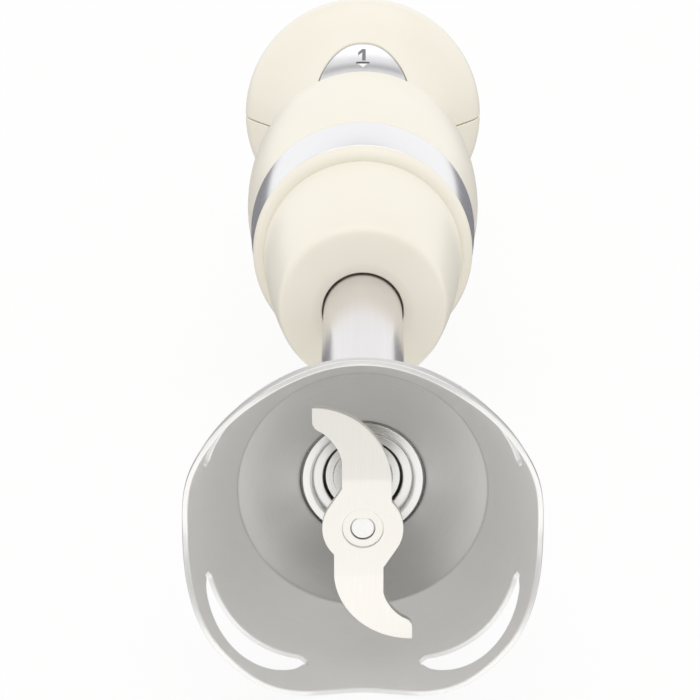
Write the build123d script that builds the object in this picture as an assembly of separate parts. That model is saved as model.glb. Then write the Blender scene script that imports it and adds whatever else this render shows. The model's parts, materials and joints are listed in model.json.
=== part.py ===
from build123d import *
import os
from math import cos, pi, radians, sin, tan

# Immersion blender. Pieces are drawn upright: foot down, axis on Z, buttons facing -Y.
# Heights start at the lobes of the foot's rim. At the end the blender is laid on its back.

# Fits, in millimetres like every size here
fit_gap = 0.05  # round pieces that are pressed or seated in one another
run_gap = 0.04  # radial clearance of a shaft in its bush
move_gap = 0.35  # pieces that move past each other
seam_gap = 0.25  # parting line between the two halves of the handle
root = 1.0  # how far cutters reach past a face, and how deep vanes and lugs are rooted

# Foot bell, drawn from stainless sheet
rim_r = 36.8
arch_r = 35.6
arch_rise = 7.0
arch_half = 22.0
crease_r = 25.4
bell_depth = 27.5
roof_rise = 5.5
roof_hole_r = 12.9
bell_wall = 1.2
neck_height = 9.0
shoulder_height = 6.0
socket_depth = 8.0
roof_round = 0.9

# Crescent slots through the bell, one on each diagonal
slot_reach = 13.4
slot_low = 4.1
slot_high = 11.0
slot_horn = 10.5
slot_tip = 3.0
slot_round = 0.45  # share of the tip
slot_count = 4

# Bearing housing in the roof of the bell
housing_inset = 0.3
lip_gap = 0.45
lip_depth = 1.0
lip_r = 11.1
step_r = 10.25
step_depth = 1.3
recess_r = 8.2
recess_depth = 3.6
housing_sleeve_r = 8.0
housing_sleeve = 4.0
seal_height = 1.8
slinger_r = 7.7
slinger_step_r = 6.1
slinger_height = 1.7

# Wand tube, spindle and its bushes
tube_r = 9.5
tube_wall = 0.8
tube_free = 83.5
tube_drop = 15.7  # from the top of the collar down to the tube's end
spindle_r = 3.0
bush_r = 5.5
upper_bush_height = 12.0
clip_r = 5.0
clip_height = 0.8
clip_groove = 0.5
clip_mouth = 3.4

# Blade, stamped from sheet with both arms bent up towards the roof
blade_z = 8.0
blade_thick = 1.5
hub_r = 8.0
arm_outer = 5.7
arm_inner = 4.1
arm_fold = 10.2
arm_tilt = 7.0
tip_reach = 24.7
tip_sweep = 9.9
tip_end = 4.0
tip_round = 2.2
back_bow = (2.4, -18.9)
hook_bow = (-5.6, -17.4)
hook_root = 14.0
gusset_angle = 33.0  # where the gusset leaves the hub's edge
shaft_end_r = 2.4
shaft_end_flat = 1.9
shaft_end_inset = 0.4

# Collar that joins the wand to the handle by a bayonet
collar_height = 43.7
nose_r = 20.3
nose_rise = 2.9
nose_bend = 0.75  # share of the nose's radius where it has risen by a third
nose_round = 3.0
nose_lip = 2.0
nose_gap = 0.5
nose_gap_depth = 4.0
collar_r = 25.3
collar_bow = 0.7
ledge_height = 1.5
spigot_step = 3.8  # from the collar in to the spigot
spigot_wall = 4.5
spigot_height = 12.0
lug_count = 3
lug_out = 1.9
lug_arc = 28.0
lug_height = 3.0
lug_z = 5.5
seal_ring_r = 0.9
seal_ring_z = 2.2
twist_angle = 30.0
lug_room = 2.0  # degrees at each end of a groove

# Ring at the lower end of the handle, with the chrome band around it
joint_gap = 0.3
bead_height = 5.3
bead_step = 0.4  # from the collar out to the foot of the bead
bead_swell = 0.3
bead_inset = 0.1
band_height = 17.5
band_top_r = 29.4
band_flare = 1.4
band_bow = 0.25
sleeve_gap = 0.2
sleeve_wall = 2.2
sleeve_over = 6.0
floor_z = 14.0
floor_thick = 2.5
floor_hole_r = 5.0

# Handle, two shells that meet at the sides
bulge_r = 31.2
bulge_rise = 27.5
waist_r = 20.7
waist_rise = 58.0
head_r = 35.5
head_rise = 32.3
dome_height = 21.7
shell_wall = 2.2
# Shares of a stretch over which its curve leaves one end and meets the other
band_lean = 0.6
band_hold = 0.4
bulge_hold = 0.69
waist_hold = 0.21
flare_start = 0.53
flare_end = 0.29
dome_side = 0.78
dome_flat = 0.56

# Button panel in the front of the waist
panel_top = 16.5  # above the waist
panel_length = 32.5
panel_half = 13.2
panel_corner = 12.0
panel_gap = 0.35
button_split = 16.0  # height of the upper button
button_travel = 1.8
lip_out = 1.2
lip_thick = 1.0
stem_r = 2.0
boss_r = 4.6
boss_depth = 1.8

# Circuit board with its switches and larger components
board_width = 26.0
board_thick = 1.6
board_front = 3.6  # in front of the axis
board_gap = 4.5  # above the motor's bearing
board_above = 33.5  # above the waist
switch_width = 12.8
switch_height = 5.8
switch_depth = 6.4
plunger_r = 1.6
plunger_in = 2.2
plunger_proud = 0.4  # left standing when the button is pressed
spring_r = 3.4
spring_wire_r = 0.35
spring_turns = 3
rectifier_size = (15.0, 7.0, 9.0)
capacitor_r = 4.0
capacitor_length = 12.0
choke_r = 5.0
choke_hole_r = 2.2
choke_height = 5.0
component_gap = 1.5

# Motor
motor_shaft_r = 2.5
can_wall = 1.6
can_length = 46.0
can_above_floor = 12.3
bearing_r = 5.5
bearing_height = 5.0
bearing_wall = 1.5
bearing_drop = 2.1
magnet_thick = 3.7
magnet_arc = 140.0
magnet_over = 4.0  # longer than the core
magnet_up = 4.0
air_gap = 0.6
core_ends = 20.0  # of the can's length, left for windings and commutator
core_slots = 10
core_slot_width = 2.4
core_hub_r = 9.0
winding_inset = 1.8
winding_hub_r = 5.2
winding_height = 3.8
commutator_r = 7.5
commutator_height = 6.4
commutator_gap = 0.3  # above the windings
bar_gap = 0.3
bar_gap_depth = 0.5
cap_thick = 3.5
cap_inside = 1.0
brush_width = 5.0
brush_height = 4.0
brush_gap = 0.15
brush_spring_r = 1.5
brush_spring_wire_r = 0.25
brush_spring_turns = 3
brush_spring_length = 3.45
holder_wall = 1.0
holder_clear = 1.9
holder_end_gap = 0.8
mount_height = 4.0
mount_thick = 3.0
rib_depth = 1.1
lower_mount_up = 2.0
upper_mount_down = 4.5
fan_r = 20.0
fan_height = 7.0
fan_hub_r = 6.0
fan_disc = 1.2
fan_blades = 9
fan_blade_thick = 1.2
fan_gap = 0.5

# Drive coupling and its socket on the spindle
dog_r = 5.0
dog_out = 1.4
dog_width = 2.6
dog_count = 6
dog_length = 8.5
dog_gap = 0.35
dog_end_gap = 1.5
coupling_r = 8.0
coupling_height = 5.5
socket_r = 9.5
socket_hub_r = 6.0
socket_top = 7.0  # above the joint
socket_floor = 2.0
spindle_bite = 8.0

# Screws from the back, a pair above the motor and a pair in the head
screw_r = 1.45
screw_head_r = 2.8
screw_head = 2.0
screw_seat = 8.0  # behind the parting line
screw_bite = 8.0
screw_room = 0.15
boss_wall = 1.3
lower_screw = (18.0, 6.5)  # sideways, and above the motor
upper_screw = (20.0, 30.0)  # sideways, and above the waist

# Board posts, vents and the cord inlet
post_r = 2.0
post_x = 9.0
post_inset = 6.0
vent_count = 5
vent_width = 1.8
vent_length = 11.0
vent_step = 12.0  # degrees
vent_up = 14.5  # above the waist
cord_r = 3.5
gland_r = 6.5
gland_depth = 12.0
gland_lip = 1.8
gland_flange = 2.0
gland_flange_r = 8.6

# Heights along the axis, each from the one below
z_roof = bell_depth + roof_rise
z_neck = z_roof + neck_height
z_tube = z_neck + shoulder_height
z_socket = z_tube + socket_depth
z_nose = z_socket + tube_free
z_joint = z_nose + collar_height
z_tube_top = z_joint - tube_drop
z_bead = z_joint + bead_height
z_band = z_bead + band_height
z_bulge = z_band + bulge_rise
z_waist = z_bulge + waist_rise
z_head = z_waist + head_rise
z_top = z_head + dome_height
z_end = z_top + gland_lip
z_face = z_roof + housing_inset
z_recess = z_face + step_depth
z_seat = z_recess + recess_depth
z_floor = z_joint + floor_z
z_floor_top = z_floor + floor_thick
z_can = z_floor_top + can_above_floor
z_can_top = z_can + can_length
core_height = can_length - core_ends
magnet_height = core_height + magnet_over
z_core = z_can + can_wall + magnet_up + magnet_over / 2
z_commutator = z_core + core_height + winding_height + commutator_gap
z_cap_top = z_can_top + cap_thick
z_socket_top = z_joint + socket_top
z_panel = z_waist + panel_top
z_split = z_panel - button_split
z_motor_top = z_cap_top - cap_inside + bearing_height
z_board = z_motor_top + board_gap
board_length = z_waist + board_above - z_board
z_upper_switch = (z_split + z_panel) / 2
z_lower_switch = (z_split + z_panel - panel_length) / 2

# Radii that follow from their neighbours
band_low_r = band_top_r - band_flare
bead_top_r = band_low_r - bead_inset
bead_r = bead_top_r + bead_swell
bead_foot_r = collar_r + bead_step
spigot_r = collar_r - spigot_step
cavity_r = spigot_r - spigot_wall
bell_reach = max(rim_r, arch_r) + root
sleeve_r = band_top_r - shell_wall - sleeve_gap
rib_r = min(band_top_r, bulge_r) - shell_wall - rib_depth
can_r = rib_r - mount_thick - 2 * fit_gap
core_r = can_r - can_wall - fit_gap - magnet_thick - air_gap
holder_end = can_r - can_wall - holder_end_gap
brush_length = holder_end - holder_wall - brush_spring_length - brush_gap - commutator_r
bearing_seat_r = bearing_r + fit_gap + bearing_wall

# Depths in front of the axis, where the buttons work their switches
switch_top = board_front + switch_depth
plunger_top = switch_top + button_travel + plunger_proud
spring_top = waist_r - shell_wall - move_gap - lip_thick - boss_depth

big = 2 * z_end
axis_height = max(head_r, arch_r)


def turned(*lines):
    """Solid turned about the axis from lines drawn as (radius, height)."""
    edges = [edge for line in lines for edge in line.edges()]
    return revolve(Plane.XZ * make_face(edges), Axis.Z)


def turned_polygon(*points):
    """Solid turned about the axis from the corners of its half section."""
    return turned(Polyline(*points, close=True))


def ring(inner, outer, low, high):
    """Plain ring between two radii and two heights."""
    return turned_polygon((inner, low), (outer, low), (outer, high), (inner, high))


def sector(inner, outer, low, high, start, arc):
    """Ring cut down to an arc in degrees."""
    section = Polyline((inner, low), (outer, low), (outer, high), (inner, high), close=True)
    return Rot(Z=start) * revolve(Plane.XZ * make_face(section.edges()), Axis.Z, arc)


def rod(radius, low, high):
    """Cylinder on the axis."""
    return Pos(Z=low) * Cylinder(radius, high - low, align=(Align.CENTER, Align.CENTER, Align.MIN))


def cross_rod(radius, x, z, front, back):
    """Cylinder that runs from front to back, where y is negative in front."""
    at = Plane((x, front, z), z_dir=(0, 1, 0))
    return at * Cylinder(radius, back - front, align=(Align.CENTER, Align.CENTER, Align.MIN))


def on_both_sides(piece):
    """The piece and its twin across the axis."""
    return Compound([(Rot(Z=turn) * piece).solid() for turn in (0, 180)])


def handle_body(inset):
    """Solid of the handle's outer form, drawn in all round by inset and open below."""
    low, bulge, waist, head = (r - inset for r in (band_top_r, bulge_r, waist_r, head_r))
    top = z_top - inset
    lean = (bulge - low) * band_lean
    lower = Bezier(
        (low, z_band),
        (low + lean, z_band + band_hold * bulge_rise),
        (bulge, z_bulge - band_hold * bulge_rise),
        (bulge, z_bulge),
    )
    upper = Bezier(
        (bulge, z_bulge),
        (bulge, z_bulge + bulge_hold * waist_rise),
        (waist, z_waist - waist_hold * waist_rise),
        (waist, z_waist),
    )
    flare = Bezier(
        (waist, z_waist),
        (waist, z_waist + flare_start * head_rise),
        (head, z_head - flare_end * head_rise),
        (head, z_head),
    )
    dome = Bezier(
        (head, z_head),
        (head, z_head + dome_side * (top - z_head)),
        (dome_flat * head, top),
        (0, top),
    )
    sides = Polyline((0, top), (0, z_band), (low, z_band))
    return turned(sides, lower, upper, flare, dome)


def panel(grow):
    """Button panel seen from the front, grown all round, as a prism towards the front."""
    wide, long = 2 * (panel_half + grow), panel_length + 2 * grow
    outline = RectangleRounded(wide, long, panel_corner + grow)
    return extrude(Plane.XZ * Pos(0, z_panel - panel_length / 2) * outline, big)


def foot_bell():
    """Bell with a scalloped rim, four crescent slots and a stepped neck for the tube."""
    outer_r, neck_r = roof_hole_r + bell_wall, tube_r + fit_gap + bell_wall
    outside = ThreePointArc(
        (rim_r, 0), (arch_r, arch_rise), (crease_r + bell_wall, bell_depth + bell_wall / 2)
    )
    inside = ThreePointArc(
        (rim_r - bell_wall, 0), (arch_r - bell_wall, arch_rise), (crease_r, bell_depth)
    )
    over = Polyline(
        outside @ 1,
        (outer_r, z_roof + bell_wall),
        (outer_r, z_neck),
        (neck_r, z_tube),
        (neck_r, z_socket),
        (neck_r - bell_wall, z_socket),
        (neck_r - bell_wall, z_tube),
        (roof_hole_r, z_neck),
        (roof_hole_r, z_roof),
        inside @ 1,
    )
    section = make_face([*outside.edges(), *over.edges(), *inside.edges(), Line(inside @ 0, outside @ 0)])
    mouth = section.vertices().sort_by_distance((roof_hole_r, z_roof))[0]
    section = fillet(mouth, roof_round)
    bell = revolve(Plane.XZ * section, Axis.Z)
    for quarter in range(2):
        bell -= Rot(Z=90 * quarter) * rim_arches()
    for number in range(slot_count):
        bell -= Rot(Z=360 / slot_count * (number + 0.5)) * crescent()
    return bell


def rim_arches():
    """Cutter that lifts the rim into a smooth arch in front and behind."""
    left, right = (-arch_half, 0), (arch_half, 0)
    crest = Spline(left, (0, arch_rise), right, tangents=[(1, 0), (1, 0)])
    base = Polyline(right, (arch_half, -arch_rise), (-arch_half, -arch_rise), left)
    return extrude(Plane.XZ * make_face([*crest.edges(), *base.edges()]), bell_reach, both=True)


def crescent():
    """Cutter for one slot: two arcs that part in the middle, with rounded tips."""
    top = ThreePointArc(
        (-slot_reach, slot_horn + slot_tip), (0, slot_high), (slot_reach, slot_horn + slot_tip)
    )
    under = ThreePointArc((-slot_reach, slot_horn), (0, slot_low), (slot_reach, slot_horn))
    ends = [Line(top @ 0, under @ 0), Line(top @ 1, under @ 1)]
    outline = make_face([*top.edges(), *under.edges(), *ends])
    outline = fillet(outline.vertices(), slot_round * slot_tip)
    return extrude(Plane.XZ * outline, bell_reach)


def bearing_housing():
    """Stepped housing that fills the roof's hole and carries the lower bush."""
    body_r, bore = roof_hole_r - fit_gap, bush_r + fit_gap
    return turned_polygon(
        (roof_hole_r - lip_gap, z_face),
        (roof_hole_r - lip_gap, z_face + lip_depth),
        (body_r, z_face + lip_depth),
        (body_r, z_neck),
        (housing_sleeve_r, z_neck),
        (housing_sleeve_r, z_neck + housing_sleeve),
        (bore, z_neck + housing_sleeve),
        (bore, z_seat),
        (recess_r, z_seat),
        (recess_r, z_recess),
        (step_r, z_recess),
        (lip_r, z_face),
    )


def shaft_seal():
    """Rubber seal at the back of the housing's recess."""
    return ring(spindle_r + run_gap, recess_r - fit_gap, z_seat - seal_height, z_seat)


def slinger():
    """Dished washer on the spindle that throws water off in front of the seal."""
    top = z_seat - seal_height - move_gap
    step = top - slinger_height / 2
    low = top - slinger_height
    return turned_polygon(
        (spindle_r + fit_gap, low),
        (slinger_step_r, low),
        (slinger_step_r, step),
        (slinger_r, step),
        (slinger_r, top),
        (spindle_r + fit_gap, top),
    )


def lower_bush():
    """Sintered bush in the bearing housing."""
    return ring(spindle_r + run_gap, bush_r, z_seat, z_neck + housing_sleeve)


def upper_bush():
    """Sintered bush in the top of the tube."""
    inside = tube_r - tube_wall - fit_gap
    return ring(spindle_r + run_gap, inside, z_tube_top - upper_bush_height, z_tube_top)


def wand_tube():
    """Stainless tube from the bell's socket into the collar."""
    return ring(tube_r - tube_wall, tube_r, z_tube, z_tube_top)


def shaft_end(grow):
    """Round section of the spindle's lower end, with a flat in front."""
    flat = Pos(Y=shaft_end_r - shaft_end_flat) * Rectangle(4 * shaft_end_r, 2 * (shaft_end_r + grow))
    return Circle(shaft_end_r + grow) & flat


def spindle():
    """Long shaft with a flatted end for the blade and a groove for its clip."""
    low, high = blade_z + blade_thick, z_socket_top - dog_length - dog_end_gap
    groove_low = z_tube_top + move_gap
    shaft = rod(spindle_r, low, high)
    shaft -= ring(spindle_r - clip_groove, spindle_r + root, groove_low, groove_low + clip_height)
    foot = extrude(shaft_end(0), blade_thick - shaft_end_inset, dir=(0, 0, 1))
    return shaft + Pos(Z=blade_z + shaft_end_inset) * foot


def spindle_clip():
    """Snap ring in the spindle's groove, over the upper bush."""
    low = z_tube_top + move_gap
    clip = ring(spindle_r - clip_groove + fit_gap, clip_r, low, low + clip_height)
    return clip - Pos(0, clip_r / 2, low) * Box(clip_mouth, clip_r, 2 * clip_height)


def blade_arm():
    """Half of the blade's outline, from the hub out to its hooked tip in front."""
    tip, tip_low = (-tip_sweep, -tip_reach), (-tip_sweep, tip_end - tip_reach)
    back = ThreePointArc((arm_outer, -arm_fold), back_bow, tip)
    hook = ThreePointArc(tip_low, hook_bow, (-arm_inner, -hook_root))
    out, up = hub_r * cos(radians(gusset_angle)), hub_r * sin(radians(gusset_angle))
    gusset_top = up + (out - arm_inner) / tan(radians(gusset_angle))
    sides = Polyline(
        hook @ 1,
        (-arm_inner, -gusset_top),
        (-out, -up),
        (0, 0),
        (arm_outer, 0),
        (arm_outer, -arm_fold),
    )
    arm = make_face([*back.edges(), Line(tip, tip_low), *hook.edges(), *sides.edges()])
    return fillet(arm.vertices().sort_by_distance(tip_low)[0], tip_round)


def blade():
    """Blade stamped from one sheet, with both arms bent up at their fold lines."""
    outline = Circle(hub_r) + blade_arm() + Rot(Z=180) * blade_arm() - shaft_end(fit_gap)
    lift = (2 * tip_reach - arm_fold) * tan(radians(arm_tilt))
    under = [(-2 * tip_reach, lift), (-arm_fold, 0), (arm_fold, 0), (2 * tip_reach, lift)]
    over = [(y, z + blade_thick) for y, z in reversed(under)]
    sheet = extrude(Plane.YZ * make_face(Polyline(*under, *over, close=True).edges()), big, both=True)
    prism = extrude(outline, 2 * lift, dir=(0, 0, 1))
    return Pos(Z=blade_z) * (prism & sheet)


def wand_collar():
    """Moulded collar on the tube, with a nose below and a bayonet spigot above."""
    bore, nose_top = tube_r + fit_gap, z_nose + nose_rise
    hole = tube_r + nose_gap
    middle = ((nose_r + collar_r) / 2 + collar_bow, (nose_top + z_joint) / 2)
    nose = ThreePointArc(
        (hole + nose_lip, z_nose), (nose_bend * nose_r, z_nose + nose_rise / 3), (nose_r, nose_top)
    )
    side = ThreePointArc((nose_r, nose_top), middle, (collar_r, z_joint))
    rest = Polyline(
        (collar_r, z_joint),
        (spigot_r, z_joint),
        (spigot_r, z_joint + spigot_height),
        (cavity_r, z_joint + spigot_height),
        (cavity_r, z_tube_top + ledge_height),
        (tube_r - tube_wall, z_tube_top + ledge_height),
        (tube_r - tube_wall, z_tube_top),
        (bore, z_tube_top),
        (bore, z_nose + nose_gap_depth),
        (hole, z_nose + nose_gap_depth),
        (hole, z_nose),
        (hole + nose_lip, z_nose),
    )
    section = make_face([*nose.edges(), *side.edges(), *rest.edges()])
    edge = section.vertices().sort_by_distance((nose_r, nose_top))[0]
    collar = revolve(Plane.XZ * fillet(edge, nose_round), Axis.Z)
    groove_z = z_joint + seal_ring_z
    collar -= ring(
        spigot_r - seal_ring_r - fit_gap, spigot_r + root, groove_z - seal_ring_r, groove_z + seal_ring_r
    )
    low = z_joint + lug_z
    for number in range(lug_count):
        start = 360 / lug_count * number
        collar += sector(spigot_r - root, spigot_r + lug_out, low, low + lug_height, start, lug_arc)
    return collar


def collar_seal():
    """Rubber ring in the groove at the foot of the bayonet spigot."""
    return Pos(Z=z_joint + seal_ring_z) * Torus(spigot_r, seal_ring_r - fit_gap)


def bayonet_ring():
    """Lower end of the handle: a bead below, a sleeve under the band and bayonet grooves inside."""
    bore = spigot_r + seal_ring_r
    groove_r = spigot_r + lug_out + move_gap
    bead = ThreePointArc(
        (bead_foot_r, z_joint + joint_gap), (bead_r, z_bead - bead_height / 3), (bead_top_r, z_bead)
    )
    rest = Polyline(
        (bead_top_r, z_bead),
        (sleeve_r, z_bead),
        (sleeve_r, z_band + sleeve_over),
        (sleeve_r - sleeve_wall, z_band + sleeve_over),
        (sleeve_r - sleeve_wall, z_floor_top),
        (floor_hole_r, z_floor_top),
        (floor_hole_r, z_floor),
        (bore, z_floor),
        (bore, z_joint + joint_gap),
        (bead_foot_r, z_joint + joint_gap),
    )
    body = turned(bead, rest)
    reach = lug_arc + 2 * lug_room
    low, high = z_joint + lug_z - move_gap, z_joint + lug_z + lug_height + move_gap
    for number in range(lug_count):
        start = 360 / lug_count * number - lug_room
        body -= sector(bore - root, groove_r, low, high, start, reach + twist_angle)
        body -= sector(bore - root, groove_r, z_joint, high, start + twist_angle, reach)
    return body


def trim_band():
    """Chrome band around the sleeve, between the bead and the shells."""
    middle = ((band_low_r + band_top_r) / 2 + band_bow, (z_bead + z_band) / 2)
    outside = ThreePointArc((band_low_r, z_bead), middle, (band_top_r, z_band))
    inner = sleeve_r + fit_gap
    return turned(outside, Polyline(outside @ 1, (inner, z_band), (inner, z_bead), outside @ 0))


def screw_places():
    """Each screw's sideways place and height."""
    rows = [(lower_screw, z_cap_top), (upper_screw, z_waist)]
    return [(side * x, base + up) for (x, up), base in rows for side in (-1, 1)]


def shell_half(front):
    """Half of the hollow handle, with the ribs that hold the motor's rubber rings."""
    shell = handle_body(0) - handle_body(shell_wall)
    for low in (lower_mount_z(), upper_mount_z()):
        shell += ring(rib_r, bulge_r, low, low + mount_height) & handle_body(shell_wall / 2)
    shell -= rod(gland_r + fit_gap, z_head, z_end)
    side = -1 if front else 1
    middle = (z_band + z_end) / 2
    return shell & Pos(0, side * (big + seam_gap) / 2, middle) * Box(big, big, big)


def front_shell():
    """Front half, with the button panel's opening and bosses that take the screws."""
    shell = shell_half(True)
    boss = screw_r + fit_gap + boss_wall
    for x, z in screw_places():
        shell += cross_rod(boss, x, z, -head_r, -seam_gap / 2) & handle_body(shell_wall / 2)
        shell -= cross_rod(screw_r + fit_gap, x, z, -screw_bite - screw_room, 0)
    return shell - panel(0)


def back_shell():
    """Back half, with the screws' wells, the board's posts and vent slots under the head."""
    shell = shell_half(False)
    well = screw_head_r + screw_room
    for x, z in screw_places():
        shell += cross_rod(well + boss_wall, x, z, seam_gap / 2, head_r) & handle_body(0)
        shell -= cross_rod(screw_r + screw_room, x, z, 0, head_r)
        shell -= cross_rod(well, x, z, screw_seat, head_r)
    for x, z in board_posts():
        shell += cross_rod(post_r, x, z, board_thick - board_front, head_r) & handle_body(shell_wall / 2)
    vent = Pos(0, head_r, z_waist + vent_up) * Box(vent_width, 2 * head_r, vent_length)
    for number in range(vent_count):
        shell -= Rot(Z=(number - (vent_count - 1) / 2) * vent_step) * vent
    return shell


def board_posts():
    """Sideways place and height of each post under the board."""
    heights = (z_board + post_inset, z_board + board_length - post_inset)
    return [(side * post_x, z) for z in heights for side in (-1, 1)]


def shell_screws():
    """Four screws driven in from the back."""
    screws = []
    for x, z in screw_places():
        shank = cross_rod(screw_r, x, z, -screw_bite, screw_seat)
        screws.append(shank + cross_rod(screw_head_r, x, z, screw_seat, screw_seat + screw_head))
    return Compound(screws)


def button(low, high, z_switch):
    """Button between two heights: skin, inner lip and the boss and stem that work its switch."""
    depth = shell_wall + move_gap + lip_thick
    between = Pos(0, 0, (low + high) / 2) * Box(big, big, high - low)
    skin = (handle_body(0) - handle_body(depth)) & panel(-panel_gap)
    lip = (handle_body(shell_wall + move_gap) - handle_body(depth)) & panel(lip_out)
    cap = (skin + lip) & between
    inside = handle_body(shell_wall)
    boss = cross_rod(boss_r, 0, z_switch, -head_r, -spring_top) & inside
    stem = cross_rod(stem_r, 0, z_switch, -head_r, -plunger_top) & inside
    return cap + boss + stem


def speed_button():
    """Upper button, for the first speed."""
    return button(z_split + panel_gap / 2, z_panel + lip_out, z_upper_switch)


def turbo_button():
    """Lower button, for full speed."""
    return button(z_panel - panel_length - lip_out, z_split - panel_gap / 2, z_lower_switch)


def switch(z):
    """Small snap switch on the board, with a well for its plunger."""
    block = Pos(0, -board_front - switch_depth / 2, z) * Box(switch_width, switch_depth, switch_height)
    well = plunger_in + button_travel + move_gap
    return block - cross_rod(plunger_r + run_gap, 0, z, -switch_top, well - switch_top)


def plunger(z):
    """Plunger that a button's stem pushes into its switch."""
    return cross_rod(plunger_r, 0, z, -plunger_top, plunger_in - switch_top)


def coil(radius, wire_r, turns, length):
    """Coil spring of round wire, wound upwards from the origin in quarter turns."""
    quarters = 4 * turns
    rise = (length - 2 * wire_r) / quarters
    slope = rise / (2 * radius)
    arcs = []
    for number in range(quarters):
        turn, after = number * pi / 2, (number + 1) * pi / 2
        start = (radius * cos(turn), radius * sin(turn), wire_r + number * rise)
        end = (radius * cos(after), radius * sin(after), wire_r + (number + 1) * rise)
        arcs += TangentArc(start, end, tangent=(-sin(turn), cos(turn), slope)).edges()
    path = Wire(arcs)
    print("least gap in a coil:", round(coil_gap(path, wire_r, turns), 2))
    return sweep(Plane(path @ 0, z_dir=path % 0) * Circle(wire_r), path)


def coil_gap(path, wire_r, turns):
    """Least gap between a coil's turns, measured on points along its wire."""
    per_turn = 24
    points = [path @ (number / (per_turn * turns)) for number in range(per_turn * turns + 1)]
    apart = per_turn // 2
    spans = [(far - near).length for at, near in enumerate(points) for far in points[at + apart :]]
    return min(spans) - 2 * wire_r


def button_spring(z):
    """Return spring between a switch and its button's boss."""
    place = Plane((0, -switch_top, z), x_dir=(1, 0, 0), z_dir=(0, -1, 0))
    return place * coil(spring_r, spring_wire_r, spring_turns, spring_top - switch_top)


def control_board():
    """Circuit board behind the buttons."""
    place = Pos(0, board_thick / 2 - board_front, z_board + board_length / 2)
    return place * Box(board_width, board_thick, board_length)


def board_components():
    """Rectifier, capacitor and choke on the board, in the head above the switches."""
    wide, deep, high = rectifier_size
    z = z_upper_switch + switch_height / 2 + component_gap + high / 2
    rectifier = Pos(0, -board_front - deep / 2, z) * Box(wide, deep, high)
    z += high / 2 + component_gap + capacitor_r
    lying = Rot(Y=90) * Cylinder(capacitor_r, capacitor_length)
    capacitor = Pos(capacitor_length / 2 - board_width / 2, -board_front - capacitor_r, z) * lying
    choke_x = board_width / 2 - choke_r
    choke = cross_rod(choke_r, choke_x, z, -board_front - choke_height, -board_front)
    choke -= cross_rod(choke_hole_r, choke_x, z, -board_front - choke_height, -board_front)
    return Compound([rectifier, capacitor, choke])


def cord_gland():
    """Rubber bush in the top of the head, where the mains cord goes in."""
    flange_low = z_top - shell_wall - 2 * gland_flange
    flange = rod(gland_flange_r, flange_low, z_top) & handle_body(shell_wall + fit_gap)
    lip = Pos(Z=z_end - gland_lip / 2) * Cone(gland_r, gland_r - gland_lip / 2, gland_lip)
    bush = flange + rod(gland_r, z_top - gland_depth, z_end - gland_lip) + lip
    return bush - rod(cord_r, z_top - gland_depth, z_end)


def lower_mount_z():
    """Foot of the rubber ring near the motor's lower end."""
    return z_can + lower_mount_up


def upper_mount_z():
    """Foot of the rubber ring near the motor's upper end."""
    return z_can_top - upper_mount_down - mount_height


def motor_mount(low):
    """Rubber ring between the motor and the ribs of the shells."""
    return ring(can_r + fit_gap, rib_r - fit_gap, low, low + mount_height)


def motor_can():
    """Drawn steel can with a bearing seat in its lower end."""
    seat, hole, low = bearing_seat_r, bearing_r + fit_gap, z_can - bearing_drop
    inside, inner_floor = can_r - can_wall, z_can + can_wall
    return turned_polygon(
        (hole, low),
        (seat, low),
        (seat, z_can),
        (can_r, z_can),
        (can_r, z_can_top),
        (inside, z_can_top),
        (inside, inner_floor),
        (seat, inner_floor),
        (seat, low + bearing_height),
        (hole, low + bearing_height),
    )


def lower_bearing():
    """Sintered bearing in the can."""
    low = z_can - bearing_drop
    return ring(motor_shaft_r + run_gap, bearing_r, low, low + bearing_height)


def upper_bearing():
    """Sintered bearing in the end cap."""
    low = z_cap_top - cap_inside
    return ring(motor_shaft_r + run_gap, bearing_r, low, low + bearing_height)


def motor_end_cap():
    """Plastic cap on the can that carries the brushes and the upper bearing."""
    seat, hole = bearing_seat_r, bearing_r + fit_gap
    shaft_hole = motor_shaft_r + move_gap
    bearing_low = z_cap_top - cap_inside
    inside = can_r - can_wall - fit_gap
    return turned_polygon(
        (shaft_hole, z_can_top - cap_inside),
        (inside, z_can_top - cap_inside),
        (inside, z_can_top),
        (can_r, z_can_top),
        (can_r, z_cap_top),
        (seat, z_cap_top),
        (seat, bearing_low + bearing_height),
        (hole, bearing_low + bearing_height),
        (hole, bearing_low),
        (shaft_hole, bearing_low),
    )


def motor_magnets():
    """Two curved magnets against the can's wall."""
    outer = can_r - can_wall - fit_gap
    low = z_can + can_wall + magnet_up
    start = -magnet_arc / 2
    return on_both_sides(sector(outer - magnet_thick, outer, low, low + magnet_height, start, magnet_arc))


def armature_core():
    """Slotted stack of laminations on the motor shaft."""
    core = ring(motor_shaft_r + fit_gap, core_r, z_core, z_core + core_height)
    middle = (core_hub_r + core_r + root) / 2
    slot = Box(core_r + root - core_hub_r, core_slot_width, 2 * core_height)
    for number in range(core_slots):
        core -= Rot(Z=360 / core_slots * number) * Pos(middle, 0, z_core) * slot
    return core


def armature_windings():
    """End turns of copper wire on both faces of the core."""
    ends = []
    for low in (z_core - winding_height, z_core + core_height):
        turns = ring(winding_hub_r, core_r - winding_inset, low, low + winding_height)
        rims = turns.edges().filter_by(GeomType.CIRCLE).sort_by(SortBy.RADIUS)[-2:]
        ends.append(fillet(rims, winding_height / 3).solid())
    return Compound(ends)


def commutator():
    """Copper commutator with one bar for each slot of the core."""
    low = z_commutator
    drum = ring(motor_shaft_r + fit_gap, commutator_r, low, low + commutator_height)
    cut = Box(2 * bar_gap_depth, bar_gap, 2 * commutator_height)
    for number in range(core_slots):
        drum -= Rot(Z=360 / core_slots * (number + 0.5)) * Pos(commutator_r, 0, low) * cut
    return drum


def brush_z():
    """Height of the brushes' middle, under the end cap."""
    return z_can_top - cap_inside - holder_wall - brush_height / 2


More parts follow.
